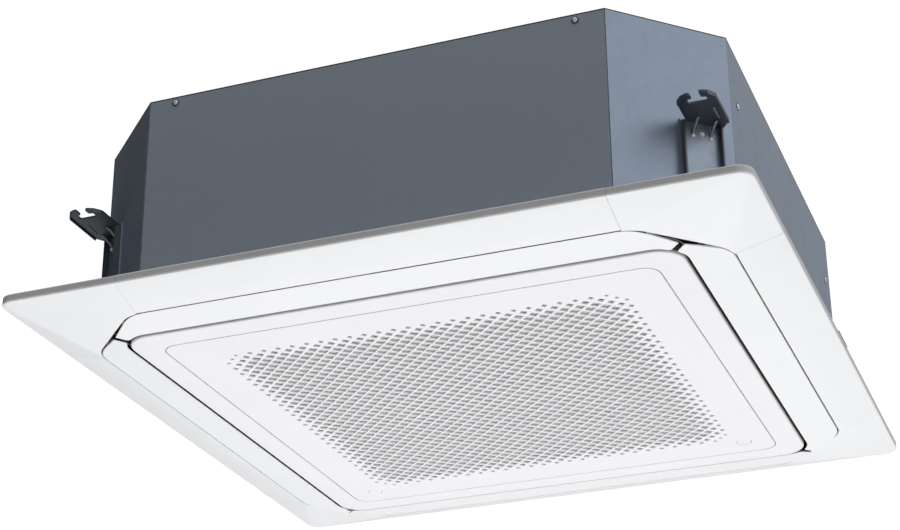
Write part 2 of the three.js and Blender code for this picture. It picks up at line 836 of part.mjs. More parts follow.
add(
  casing,
  "control_box_cover",
  join(
    box(CB.x0, CB.x1, CB.y0, CB.y1, CB.z0 - 1.5, CB.z0 - 0.3),
    cut(
      box(CB.x0 + 1.6, CB.x1 - 1.6, CB.y0 + 1.6, CB.y1 - 1.6, CB.z0 - 1, CB.z0 + 4),
      box(CB.x0 + 2.8, CB.x1 - 2.8, CB.y0 + 2.8, CB.y1 - 2.8, CB.z0 - 0.3, CB.z0 + 10),
    ),
  ),
  "zinc",
);

// Fan motor on three rubber mounts under the top plate.
const lug = (a) =>
  join(box(50, 92, -10, 10, 240, 244), cylZ(10, 240, 244, 92, 0, 12)).rotate([0, 0, a]);
const motor = join(
  cylZ(70, 196, 244, 0, 0, 28),
  cylZ(26, 188, 197, 0, 0, 20),
  cylZ(6, 126, 190, 0, 0, 12),
  lug(90),
  lug(210),
  lug(330),
);
add(casing, "fan_motor", motor, "dark");
[90, 210, 330].forEach((a, i) => {
  const g = new THREE.Group();
  g.rotation.z = (a * Math.PI) / 180;
  casing.add(g);
  add(
    g,
    "motor_mount_" + (i + 1),
    join(
      cylZ(9, 244.3, 266.4, 92, 0, 14),
      cylZ(3, 233, 245, 92, 0, 8).intersect(cylZ(3, 244.3, 245, 92, 0, 8)),
    ),
    "rubber",
  );
});

// Turbo fan: dished hub plate, backward curved blades, shroud.
const fanGroup = new THREE.Group();
fanGroup.name = "fan_rotor";
casing.add(fanGroup);
const fan = (() => {
  const hub = lathe(
    [
      [7, 140],
      [26, 140],
      [28, 146],
      [62, 168],
      [96, 202],
      [110, 209],
      [FAN_R, 209],
      [FAN_R, 212],
      [109, 212],
      [93, 205],
      [60, 171.5],
      [24, 153],
      [7, 153],
    ],
    28,
  );
  const shroud = lathe(
    [
      [172.5, 71],
      [175.2, 71],
      [177, 80],
      [192, 90],
      [FAN_R, 96],
      [FAN_R, 99],
      [191, 93.2],
      [174.5, 82.5],
    ],
    28,
  );
  let s = join(hub, shroud);
  for (let b = 0; b < BLADES; b++) {
    const a0 = (b / BLADES) * 2 * Math.PI;
    const outer = [];
    const inner = [];
    for (let i = 0; i <= 3; i++) {
      const u = i / 3;
      const r = 168 + (FAN_R - 1.5 - 168) * u;
      const a = a0 - 0.52 * u - 0.1 * u * u;
      const w = (i === 0 || i === 3 ? 1.6 : 3.4) / r;
      outer.push([r * Math.cos(a + w), r * Math.sin(a + w)]);
      inner.push([r * Math.cos(a - w), r * Math.sin(a - w)]);
    }
    const blade = prism([...inner, ...outer.reverse()], 74, 210.5);
    // keep the blade between the shroud's and the hub plate's middle surfaces
    s = join(
      s,
      blade.intersect(
        lathe(
          [
            [150, 211],
            [150, 82],
            [173.6, 82],
            [191.5, 91.6],
            [FAN_R + 4, 98],
            [FAN_R + 4, 211],
          ],
          28,
        ),
      ),
    );
  }
  return s;
})();
add(fanGroup, "turbo_fan", fan, "plastic");
add(
  fanGroup,
  "fan_nut",
  cut(cylZ(11, 130, 139.6, 0, 0, 6), cylZ(7, 100, 200, 0, 0, 12)),
  "brass",
);

// Condensate pump, float switch and drain line in the open corner of the coil.
add(
  casing,
  "drain_pump",
  join(
    box(-322, -282, 282, 322, 59, 84),
    cylZ(19, 83, 132, -302, 302, 20),
    cylZ(8, 131, 150, -302, 302, 12),
  ),
  "plastic",
);
add(
  casing,
  "float_switch",
  join(
    box(-282, -250, 356, 380, 100, 104),
    box(-282, -250, 376, 380, 59, 104),
    cylZ(3.5, 60, 101, -266, 366, 12),
    cylZ(8, 58.6, 61.5, -266, 366, 14),
  ),
  "plastic",
);
add(
  casing,
  "float",
  cut(cylZ(9, 62, 82, -266, 366, 16), cylZ(4.3, 50, 120, -266, 366, 12)),
  "plastic",
);
add(
  casing,
  "drain_hose",
  tube(
    [
      [-302, 302, 150.4],
      [-302, 302, 172],
      [-318, 300, 196],
      [-348, 284, 218],
      [-372, 262, 226],
      [-378, 236, 226],
      [-379, 214, 226],
    ],
    7.5,
    14,
    8,
  ),
  "rubber",
);
add(
  casing,
  "drain_socket",
  cut(
    join(
      cylX(DRAIN.r, -470, -386, DRAIN.y, DRAIN.z, 20),
      cylX(DRAIN.r - 2, -386.5, -368, DRAIN.y, DRAIN.z, 20),
      cylY(9.5, DRAIN.y, 213.6, -378, DRAIN.z, 12),
    ),
    cylX(DRAIN.r - 3, -480, -400, DRAIN.y, DRAIN.z, 20),
  ),
  "plastic",
);

// Refrigerant lines with their flare nuts, out through the left side.
add(
  casing,
  "gas_pipe",
  join(
    cylZ(8, 66, 236, GAS.x, GAS.y, 14),
    cylX(GAS.r, -468, GAS.x, GAS.y, GAS.z, 14),
  ),
  "copper",
);
add(
  casing,
  "liquid_pipe",
  join(
    cylZ(6, 76, 186, LIQ.x, LIQ.y, 12),
    cylX(LIQ.r, -468, LIQ.x, LIQ.y, LIQ.z, 12),
  ),
  "copper",
);
add(
  casing,
  "gas_flare_nut",
  cut(cylX(15.6, -470, -446, GAS.y, GAS.z, 6), cylX(GAS.r + 0.5, -480, -440, GAS.y, GAS.z, 14)),
  "brass",
);
add(
  casing,
  "liquid_flare_nut",
  cut(cylX(12.7, -470, -449, LIQ.y, LIQ.z, 6), cylX(LIQ.r + 0.5, -480, -440, LIQ.y, LIQ.z, 12)),
  "brass",
);
add(
  casing,
  "wiring_grommet",
  cut(
    join(
      cylY(16, BODY_HALF + 0.3, BODY_HALF + 4, WIRE.x, WIRE.z, 16),
      cylY(WIRE.r - 0.4, BODY_HALF - 2.2, BODY_HALF + 2, WIRE.x, WIRE.z, 16),
    ),
    cylY(7, 400, 440, WIRE.x, WIRE.z, 14),
  ),
  "rubber",
);

export default root;
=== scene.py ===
import bpy, bmesh, json, math
from mathutils import Matrix, Vector
from mathutils.geometry import delaunay_2d_cdt


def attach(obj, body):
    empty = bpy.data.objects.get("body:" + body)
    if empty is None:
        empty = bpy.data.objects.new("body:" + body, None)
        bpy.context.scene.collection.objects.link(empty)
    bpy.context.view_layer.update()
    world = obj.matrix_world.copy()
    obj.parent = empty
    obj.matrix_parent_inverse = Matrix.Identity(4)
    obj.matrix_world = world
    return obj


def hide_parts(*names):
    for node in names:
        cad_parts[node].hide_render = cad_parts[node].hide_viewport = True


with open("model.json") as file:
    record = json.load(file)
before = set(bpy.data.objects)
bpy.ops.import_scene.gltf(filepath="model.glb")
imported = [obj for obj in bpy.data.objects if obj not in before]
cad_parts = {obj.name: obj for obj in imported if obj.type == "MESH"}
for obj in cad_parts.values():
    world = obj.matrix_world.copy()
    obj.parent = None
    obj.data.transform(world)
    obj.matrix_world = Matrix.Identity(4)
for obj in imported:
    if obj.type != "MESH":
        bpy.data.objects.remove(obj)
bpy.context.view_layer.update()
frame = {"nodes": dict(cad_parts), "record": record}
S = 0.001  # the numbers below are millimetres


# ------------------------------------------------------------------ materials
def mat(name):
    m = bpy.data.materials.new(name)
    m.use_nodes = True
    nt = m.node_tree
    b = nt.nodes["Principled BSDF"]
    return m, nt, b


def node(nt, kind, **kw):
    n = nt.nodes.new(kind)
    for k, v in kw.items():
        if k.startswith("in_"):
            key = k[3:]
            n.inputs[int(key) if key.isdigit() else key.replace("_", " ")].default_value = v
        else:
            setattr(n, k, v)
    return n


def coords(nt, scale=(1, 1, 1)):
    t = node(nt, "ShaderNodeTexCoord")
    m = node(nt, "ShaderNodeMapping")
    m.inputs["Scale"].default_value = scale
    nt.links.new(t.outputs["Object"], m.inputs["Vector"])
    return m.outputs["Vector"]


def noise(nt, vec, scale, detail=4.0, rough=0.55):
    n = node(nt, "ShaderNodeTexNoise")
    n.inputs["Scale"].default_value = scale
    n.inputs["Detail"].default_value = detail
    n.inputs["Roughness"].default_value = rough
    nt.links.new(vec, n.inputs["Vector"])
    return n.outputs["Fac"]


def ramp(nt, fac, stops):
    r = node(nt, "ShaderNodeValToRGB")
    e = r.color_ramp.elements
    while len(e) < len(stops):
        e.new(0.5)
    for i, (p, c) in enumerate(stops):
        e[i].position = p
        e[i].color = (c[0], c[1], c[2], 1) if hasattr(c, "__len__") else (c, c, c, 1)
    nt.links.new(fac, r.inputs["Fac"])
    return r.outputs["Color"]


def bump(nt, b, height, strength, distance):
    n = node(nt, "ShaderNodeBump")
    n.inputs["Strength"].default_value = strength
    n.inputs["Distance"].default_value = distance
    nt.links.new(height, n.inputs["Height"])
    nt.links.new(n.outputs["Normal"], b.inputs["Normal"])
    return n


def mixc(nt, fac, a, c):
    n = node(nt, "ShaderNodeMix", data_type="RGBA", blend_type="MIX")
    for s, v in ((0, fac), (6, a), (7, c)):
        if isinstance(v, (int, float)):
            n.inputs[s].default_value = v
        elif isinstance(v, (tuple, list)):
            n.inputs[s].default_value = (v[0], v[1], v[2], 1)
        else:
            nt.links.new(v, n.inputs[s])
    return n.outputs[2]


def plastic(name, color, rough=0.42, var=0.02, grain=900, bump_s=0.12, dark=None):
    """Moulded plastic: faint cloudy tone, spark-eroded grain."""
    m, nt, b = mat(name)
    v = coords(nt)
    n1 = noise(nt, v, 9, 3)
    n2 = noise(nt, v, grain, 2)
    lo = [c * (1 - var) for c in color] if dark is None else dark
    hi = [min(1, c * (1 + var)) for c in color]
    nt.links.new(ramp(nt, n1, [(0.3, lo), (0.7, hi)]), b.inputs["Base Color"])
    nt.links.new(ramp(nt, n2, [(0.3, rough - 0.05), (0.7, rough + 0.06)]), b.inputs["Roughness"])
    bump(nt, b, n2, bump_s, 0.00012)
    b.inputs["Specular IOR Level"].default_value = 0.4
    return m


def galvanised(name, color, metallic=0.75, rough=0.42, spangle=0.16, size=95, cloudy=0.09):
    """Hot-dip zinc: crystal spangle, fine mottle, soft cloudy patches."""
    m, nt, b = mat(name)
    v = coords(nt)
    vo = node(nt, "ShaderNodeTexVoronoi", feature="F1")
    vo.inputs["Scale"].default_value = size
    vo.inputs["Randomness"].default_value = 1
    wob = node(nt, "ShaderNodeVectorMath", operation="ADD")
    nz = node(nt, "ShaderNodeTexNoise")
    nz.inputs["Scale"].default_value = 60
    nt.links.new(v, nz.inputs["Vector"])
    sc = node(nt, "ShaderNodeVectorMath", operation="SCALE")
    sc.inputs["Scale"].default_value = 0.012
    nt.links.new(nz.outputs["Color"], sc.inputs[0])
    nt.links.new(v, wob.inputs[0])
    nt.links.new(sc.outputs[0], wob.inputs[1])
    nt.links.new(wob.outputs[0], vo.inputs["Vector"])
    cell = node(nt, "ShaderNodeSeparateColor")
    nt.links.new(vo.outputs["Color"], cell.inputs[0])
    cloud = noise(nt, v, 14, 5, 0.6)
    fine = noise(nt, v, 420, 3, 0.6)
    lo = [c * (1 - spangle) for c in color]
    hi = [min(1, c * (1 + spangle)) for c in color]
    base = ramp(nt, cell.outputs[0], [(0.0, lo), (1.0, hi)])
    cl = ramp(nt, cloud, [(0.3, [c * (1 - cloudy) for c in color]), (0.72, [min(1, c * (1 + cloudy)) for c in color])])
    mixed = mixc(nt, 0.45, base, cl)
    fn = ramp(nt, fine, [(0.25, [c * 0.85 for c in color]), (0.75, [min(1, c * 1.15) for c in color])])
    nt.links.new(mixc(nt, 0.22, mixed, fn), b.inputs["Base Color"])
    nt.links.new(ramp(nt, cell.outputs[1], [(0, rough - 0.45 * spangle), (1, rough + 0.6 * spangle)]), b.inputs["Roughness"])
    b.inputs["Metallic"].default_value = metallic
    bump(nt, b, cloud, 0.10, 0.0006)
    return m


def metal(name, color, metallic=0.9, rough=0.35, grain=300, var=0.08, stretch=(1, 1, 1)):
    m, nt, b = mat(name)
    v = coords(nt, stretch)
    n1 = noise(nt, v, grain, 4)
    n2 = noise(nt, coords(nt), 18, 3)
    c1 = ramp(nt, n1, [(0.3, [c * (1 - var) for c in color]), (0.7, [min(1, c * (1 + var)) for c in color])])
    c2 = ramp(nt, n2, [(0.3, [c * 0.88 for c in color]), (0.7, [min(1, c * 1.1) for c in color])])
    nt.links.new(mixc(nt, 0.5, c1, c2), b.inputs["Base Color"])
    nt.links.new(ramp(nt, n1, [(0.3, rough - 0.06), (0.7, rough + 0.08)]), b.inputs["Roughness"])
    b.inputs["Metallic"].default_value = metallic
    bump(nt, b, n1, 0.08, 0.0002)
    return m


def foam(name, color):
    """Expanded bead foam: packed beads."""
    m, nt, b = mat(name)
    v = coords(nt)
    vo = node(nt, "ShaderNodeTexVoronoi", feature="DISTANCE_TO_EDGE")
    vo.inputs["Scale"].default_value = 260
    nt.links.new(v, vo.inputs["Vector"])
    c = ramp(nt, vo.outputs["Distance"], [(0.0, [x * 0.8 for x in color]), (0.22, color)])
    nt.links.new(c, b.inputs["Base Color"])
    b.inputs["Roughness"].default_value = 0.9
    bump(nt, b, vo.outputs["Distance"], 0.35, 0.001)
    return m


def net(name, color):
    """Woven filter net."""
    m, nt, b = mat(name)
    v = coords(nt)
    w = []
    for a in ("X", "Y"):
        t = node(nt, "ShaderNodeTexWave", wave_type="BANDS", bands_direction=a, wave_profile="SIN")
        t.inputs["Scale"].default_value = 190
        nt.links.new(v, t.inputs["Vector"])
        w.append(t.outputs["Fac"])
    mx = node(nt, "ShaderNodeMath", operation="MAXIMUM")
    nt.links.new(w[0], mx.inputs[0])
    nt.links.new(w[1], mx.inputs[1])
    c = ramp(nt, mx.outputs[0], [(0.3, [x * 0.84 for x in color]), (0.85, color)])
    cl = ramp(nt, noise(nt, v, 22, 3), [(0.3, [x * 0.93 for x in color]), (0.7, [x * 1.04 for x in color])])
    nt.links.new(mixc(nt, 0.35, c, cl), b.inputs["Base Color"])
    b.inputs["Roughness"].default_value = 0.8
    bump(nt, b, mx.outputs[0], 0.15, 0.0002)
    return m


def fins(name, color):
    """Edges of pressed fins, 1.6 mm apart."""
    m, nt, b = mat(name)
    v = coords(nt)
    t = node(nt, "ShaderNodeTexWave", wave_type="RINGS", rings_direction="Z", wave_profile="SIN")
    t.inputs["Scale"].default_value = 90
    nt.links.new(v, t.inputs["Vector"])
    x = node(nt, "ShaderNodeTexWave", wave_type="BANDS", bands_direction="DIAGONAL", wave_profile="SIN")
    x.inputs["Scale"].default_value = 200
    flat = coords(nt, (1, 1, 0))
    nt.links.new(flat, x.inputs["Vector"])
    # painted shade: the dark bands between fin edges stand for the shade in the gaps between fins
    c = ramp(nt, x.outputs["Fac"], [(0.2, [q * 0.25 for q in color]), (0.8, color)])
    cl = ramp(nt, noise(nt, v, 30, 3), [(0.3, [q * 0.85 for q in color]), (0.7, color)])
    nt.links.new(mixc(nt, 0.3, c, cl), b.inputs["Base Color"])
    b.inputs["Metallic"].default_value = 0.85
    b.inputs["Roughness"].default_value = 0.45
    bump(nt, b, x.outputs["Fac"], 0.6, 0.0008)
    return m


WHITE = plastic("panel_white", (0.90, 0.905, 0.915), rough=0.40, var=0.012, grain=1100, bump_s=0.08)
GRILLE = plastic("grille_white", (0.885, 0.885, 0.90), rough=0.42, var=0.01, grain=1100, bump_s=0.08)
# painted shade: grey for the groove's faces, standing in for the shade in the recess
GROOVE_SHADE = plastic("grille_groove_painted_shade", (0.42, 0.42, 0.43), rough=0.6, var=0.03)
# painted shade: near black for the grille's outer side wall and the front louvre's outer flank, standing in for the
# shadow on them
FLANK_SHADE = plastic("flank_painted_shade", (0.13, 0.13, 0.135), rough=0.6, var=0.03)
# painted shade: grey copy of the white panel plastic for the rim's side, which falls in shade
RIM_SHADE = plastic("rim_painted_shade", (0.60, 0.59, 0.59), rough=0.5, var=0.03)
RIMTOP = plastic("rim_top_edge", (0.88, 0.88, 0.88), rough=0.5, var=0.03)
# painted shade: near black for the duct walls, seat wall and decks inside the outlets, standing in for the shade in the
# cavity
AIRWAY_SHADE = plastic("airway_painted_shade", (0.045, 0.045, 0.047), rough=0.7, var=0.1, grain=400, bump_s=0.3)
SHEET = galvanised("zinc_sheet", (0.31, 0.37, 0.455), rough=0.46, spangle=0.06)
# painted shade: a separate copy of the same zinc for the front sheet, duller and less metallic, tuned to the shade on
# the front face
SHEET_FRONT_SHADED = galvanised("zinc_front_painted_shade", (0.335, 0.385, 0.45), rough=0.66, spangle=0.012, cloudy=0.02, metallic=0.45)
# painted light: a separate copy of the same zinc for the front-right chamfer, tuned to how light falls on that face
SHEET_CHAMFER_LIT = galvanised("zinc_chamfer_painted_light", (0.275, 0.325, 0.41), rough=0.44, spangle=0.035, cloudy=0.025)
# painted shade: a dark copy of the bracket's zinc for its plate, lips and flanges, standing in for the shade on those
# faces; the web keeps the strap tone
BRACKET_SHADED = galvanised("zinc_bracket_painted_shade", (0.115, 0.132, 0.15), rough=0.42, spangle=0.08, size=160)
STRAP = galvanised("zinc_strap", (0.31, 0.365, 0.435), rough=0.44, spangle=0.05, size=160)
# painted highlight: a lighter copy of the bracket's zinc for the pressed ribs and the wing bead, for the light they
# catch
RIB_LIT = galvanised("zinc_rib_painted_highlight", (0.25, 0.28, 0.31), rough=0.36, spangle=0.05, size=160)
# painted highlight: near-white tone on the rivets and the fixing screw head, for the glints on them
RIVET_LIT = metal("rivet_painted_highlight", (0.95, 0.95, 0.95), metallic=0.25, rough=0.3, grain=200, var=0.02)
# painted shadow: near black for the top plate's side faces and the rings at the screw heads' feet
EDGE = galvanised("edge_painted_shadow", (0.03, 0.032, 0.036), rough=0.6, spangle=0.05, metallic=0.4)
SCREW = metal("screw_zinc", (0.80, 0.81, 0.82), rough=0.28)
FOAM = foam("foam_white", (0.80, 0.80, 0.79))
PAN = foam("foam_pan", (0.78, 0.78, 0.78))
SEAL = plastic("seal_foam", (0.035, 0.035, 0.038), rough=0.85, var=0.2, grain=350, bump_s=0.5)
NET = net("filter_net", (0.60, 0.60, 0.60))
NETFRAME = plastic("filter_frame", (0.50, 0.50, 0.51), rough=0.55)
FIN = fins("coil_fins", (0.66, 0.67, 0.68))
DUCT = plastic("duct_plastic", (0.55, 0.56, 0.57), rough=0.5)
FAN = plastic("fan_plastic", (0.62, 0.63, 0.64), rough=0.45)
MOTOR = metal("motor_casting", (0.42, 0.43, 0.44), rough=0.4)
DARK = plastic("dark_plastic", (0.03, 0.03, 0.033), rough=0.45, var=0.15)
SOFTW = plastic("white_plastic", (0.72, 0.72, 0.71), rough=0.4)
RUBBER = plastic("black_rubber", (0.02, 0.02, 0.02), rough=0.75, var=0.2, grain=500, bump_s=0.3)
COPPER = metal("copper_tube", (0.72, 0.36, 0.22), rough=0.28, grain=120)
BRASS = metal("brass_nut", (0.70, 0.52, 0.24), rough=0.3)
BOARD = plastic("circuit_board", (0.03, 0.16, 0.07), rough=0.4, var=0.2, grain=400)

node_mats = {
    "panel_plastic": WHITE, "galvanised_sheet": SHEET, "bracket_steel": BRACKET_SHADED, "filter_plastic": NETFRAME,
    "foam": FOAM, "seal_foam": SEAL, "coil_aluminium": FIN, "duct_plastic": DUCT, "motor_casting": MOTOR,
    "zinc_steel": SCREW, "circuit_board": BOARD, "black_plastic": DARK, "white_plastic": SOFTW,
    "black_rubber": RUBBER, "copper": COPPER, "brass": BRASS,
}
slot_of = {s["node"]: s["material_slot"] for s in frame["record"]["subparts"]}
body_of = {n: b for b, ns in frame["record"]["behaviour"]["bodies"].items() for n in ns}
for name, o in frame["nodes"].items():
    o.data.materials.clear()
    o.data.materials.append(node_mats[slot_of[name]])
    for p in o.data.polygons:
        p.use_smooth = False


def paint(n, m):
    frame["nodes"][n].data.materials[0] = m


# painted light: the front sheet and the front-right chamfer get copies of the zinc tuned to the light on each face
paint("side_panel_front", SHEET_FRONT_SHADED)
paint("corner_sheet_front_right", SHEET_CHAMFER_LIT)
paint("drain_pan", PAN)
paint("turbo_fan", FAN)


# --------------------------------------------------------------------- meshes
class Build:
    """Collects shapes in millimetres into one mesh."""

    def __init__(self):
        self.v, self.f, self.m = [], [], []

    def add(self, verts, faces, mi=0):
        k = len(self.v)
        self.v += [tuple(p) for p in verts]
        self.f += [tuple(i + k for i in f) for f in faces]
        self.m += [mi] * len(faces)

    def prism(self, outline, z0, z1, mi=0, holes=()):
        """Upright plate; z0 and z1 are numbers or functions of (x, y)."""
        f0 = z0 if callable(z0) else (lambda x, y: z0)
        f1 = z1 if callable(z1) else (lambda x, y: z1)
        loops = [list(outline)] + [list(h) for h in holes]
        if sum(a[0] * b[1] - b[0] * a[1] for a, b in zip(loops[0], loops[0][1:] + loops[0][:1])) < 0:
            loops[0].reverse()
        for h in loops[1:]:
            if sum(a[0] * b[1] - b[0] * a[1] for a, b in zip(h, h[1:] + h[:1])) > 0:
                h.reverse()
        vs, fs = [], []
        for lp in loops:
            n, k = len(lp), len(vs)
            vs += [(x, y, f0(x, y)) for x, y in lp] + [(x, y, f1(x, y)) for x, y in lp]
            for i in range(n):
                j = (i + 1) % n
                fs.append((k + i, k + j, k + n + j, k + n + i))
        if not holes:
            n = len(loops[0])
            fs.append(tuple(range(n - 1, -1, -1)))
            fs.append(tuple(range(n, 2 * n)))
        else:
            tris, pts, ids = cdt(loops)
            base = []
            for k, lp in zip(_starts(loops), loops):
                base += [(k, len(lp))]
            look = []
            for (k, n) in base:
                look += [(k + i, k + n + i) for i in range(n)]
            for t in tris:
                fs.append(tuple(look[i][1] for i in t))
                fs.append(tuple(look[i][0] for i in reversed(t)))
        self.add(vs, fs, mi)
        return self

    def box(self, x0, x1, y0, y1, z0, z1, mi=0):
        return self.prism([(x0, y0), (x1, y0), (x1, y1), (x0, y1)], z0, z1, mi)

    def loft(self, loops, mi=0, cap0=False, cap1=False, close=False):
        """loops: lists of (x, y, z) of one length."""
        n = len(loops[0])
        vs = [p for lp in loops for p in lp]
        fs = []
        rows = len(loops)
        for k in range(rows if close else rows - 1):
            a, b = k * n, ((k + 1) % rows) * n
            for i in range(n):
                j = (i + 1) % n
                fs.append((a + i, a + j, b + j, b + i))
        if cap0:
            fs.append(tuple(range(n - 1, -1, -1)))
        if cap1:
            fs.append(tuple(range((rows - 1) * n, rows * n)))
        self.add(vs, fs, mi)
        return self

    def lathe(self, profile, seg=48, at=(0, 0, 0), axis="Z", mi=0, closed=True):
        """Turned piece: profile of (r, z)."""
        rows = []
        for i in range(seg):
            a = 2 * math.pi * i / seg
            row = []
            for r, z in profile:
                p = (r * math.cos(a), r * math.sin(a), z)
                if axis == "X":
                    p = (p[2], p[0], p[1])
                elif axis == "Y":
                    p = (p[1], p[2], p[0])
                row.append((p[0] + at[0], p[1] + at[1], p[2] + at[2]))
            rows.append(row)
        n = len(profile)
        vs = [p for r in rows for p in r]
        fs = []
        for k in range(seg):
            a, b = k * n, ((k + 1) % seg) * n
            for i in range(n if closed else n - 1):
                j = (i + 1) % n
                if profile[i][0] < 1e-6 and profile[j][0] < 1e-6:
                    continue
                fs.append((a + i, b + i, b + j, a + j))
        self.add(vs, fs, mi)
        return self

    def tube(self, path, r, seg=16, mi=0, caps=True):
        rows = []
        pts = [Vector(p) for p in path]
        up = Vector((0.12, 0.3, 0.95))
        for i, p in enumerate(pts):
            t = (pts[min(i + 1, len(pts) - 1)] - pts[max(i - 1, 0)]).normalized()
            a = t.cross(up).normalized()
            b = t.cross(a)
            rr = r(i / (len(pts) - 1)) if callable(r) else r
            rows.append([tuple(p + a * rr * math.cos(2 * math.pi * k / seg) + b * rr * math.sin(2 * math.pi * k / seg)) for k in range(seg)])
        return self.loft(rows, mi, caps, caps)

    def made(self, name, body, slot, mats, replaces=(), bevel=None, segs=2, smooth=35, angle=32, weld=True):
        me = bpy.data.meshes.new(name)
        me.from_pydata([(x * S, y * S, z * S) for x, y, z in self.v], [], self.f)
        for m in mats if isinstance(mats, (list, tuple)) else [mats]:
            me.materials.append(m)
        for p, k in zip(me.polygons, self.m):
            p.material_index = k
        bm = bmesh.new()
        bm.from_mesh(me)
        if weld:
            bmesh.ops.remove_doubles(bm, verts=bm.verts, dist=2e-6)
            bmesh.ops.dissolve_degenerate(bm, edges=bm.edges, dist=1e-6)
        bmesh.ops.recalc_face_normals(bm, faces=bm.faces)
        bm.to_mesh(me)
        bm.free()
        o = bpy.data.objects.new(name, me)
        bpy.context.scene.collection.objects.link(o)
        if bevel:
            b = o.modifiers.new("Bevel", "BEVEL")
            b.width = bevel * S
            b.segments = segs
            b.limit_method = "ANGLE"
            b.angle_limit = math.radians(angle)
            b.use_clamp_overlap = True
            b.harden_normals = False
            apply(o)
        shade(o, smooth)
        if bevel:
            even(o)
        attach(o, body)
        if replaces:
            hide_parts(*replaces)
        return o


def _starts(loops):
    out, k = [], 0
    for lp in loops:
        out.append(k)
        k += 2 * len(lp)
    return out


def inside(p, poly):
    x, y = p
    c = False
    n = len(poly)
    for i in range(n):
        x1, y1 = poly[i]
        x2, y2 = poly[(i + 1) % n]
        if (y1 > y) != (y2 > y) and x < (x2 - x1) * (y - y1) / (y2 - y1) + x1:
            c = not c
    return c


def cdt(loops, extra=()):
    """Triangles of the region inside loops[0] and outside the others. The points keep their order."""
    pts = [p for lp in loops for p in lp] + list(extra)
    edges, k = [], 0
    for lp in loops:
        n = len(lp)
        edges += [(k + i, k + (i + 1) % n) for i in range(n)]
        k += n
    out = delaunay_2d_cdt([Vector(p) for p in pts], edges, [], 0, 1e-7)
    vs, fs, back = out[0], out[2], out[3]
    ids = [b[0] if b else -1 for b in back]
    tris = []
    for f in fs:
        c = sum((vs[i] for i in f), Vector((0, 0))) / len(f)
        if inside(c, loops[0]) and not any(inside(c, h) for h in loops[1:]):
            t = [ids[i] for i in f]
            if -1 in t or len(set(t)) < 3:
                continue
            a, b, d = (Vector(pts[i]) for i in t)
            if (b - a).cross(d - a) < 0:
                t.reverse()
            tris.append(tuple(t))
    return tris, pts, ids


def apply(o):
    bpy.context.view_layer.update()
    dg = bpy.context.evaluated_depsgraph_get()
    me = bpy.data.meshes.new_from_object(o.evaluated_get(dg))
    old = o.data
    o.modifiers.clear()
    o.data = me
    bpy.data.meshes.remove(old)


def shade(o, angle=35):
    me = o.data
    for p in me.polygons:
        p.use_smooth = True
    bm = bmesh.new()
    bm.from_mesh(me)
    lim = math.radians(angle)
    for e in bm.edges:
        if len(e.link_faces) == 2:
            e.smooth = e.calc_face_angle(0) < lim
        else:
            e.smooth = False
    bm.to_mesh(me)
    bm.free()


def even(o):
    """Flat faces keep one normal; only the eased edges turn."""
    w = o.modifiers.new("Even", "WEIGHTED_NORMAL")
    w.keep_sharp = True
    w.weight = 90
    apply(o)


def fourfold(pts):
    out = []
    for k in range(4):
        for x, y in pts:
            for _ in range(k):
                x, y = -y, x
            out.append((x, y))
    return out


def rounded(h, r, n=12):
    return fourfold([(h - r + r * math.cos(math.pi / 2 * i / n), h - r + r * math.sin(math.pi / 2 * i / n)) for i in range(n + 1)])


def arc45(h, v, r, n=8):
    t = r * math.tan(math.pi / 8)
    a = [(h - r + r * math.cos(math.pi / 4 * i / n), v - t + r * math.sin(math.pi / 4 * i / n)) for i in range(n + 1)]
    return a


def ring(h, v, r, n=8):
    a = arc45(h, v, r, n)
    return fourfold(a + [(y, x) for x, y in reversed(a)])


def octagon(h, leg):
    return fourfold([(h, h - leg), (h - leg, h)])


def circle(x, y, r, n=32):
    return [(x + r * math.cos(2 * math.pi * i / n), y + r * math.sin(2 * math.pi * i / n)) for i in range(n)]


def turn(p, k):
    x, y = p[0], p[1]
    for _ in range(k % 4):
        x, y = -y, x
    return (x, y) + tuple(p[2:])


def turned(build, k):
    b = Build()
    b.v = [turn(p, k) for p in build.v]
    b.f, b.m = list(build.f), list(build.m)
    return b


def at(z, loop):
    return [(x, y, z) for x, y in loop]


# ------------------------------------------------------------- intake grille
PITCH = 9.9
FACE, BACK = -33.7, -31.5
FIELD = 28 * PITCH
SIDES = {27: 6.0, 26: 8.4, 25: 10.3, 24: 11.2}


def hole_half(a, b):
    m = max(abs(a), abs(b))
    s = SIDES.get(m, 11.6)
    k = abs(a) + abs(b)
    if k > 52:
        return 0
    if k > 50:
        s = min(s, 4.6)
    elif k > 48:
        s = min(s, 7.6)
    return s / math.sqrt(2)


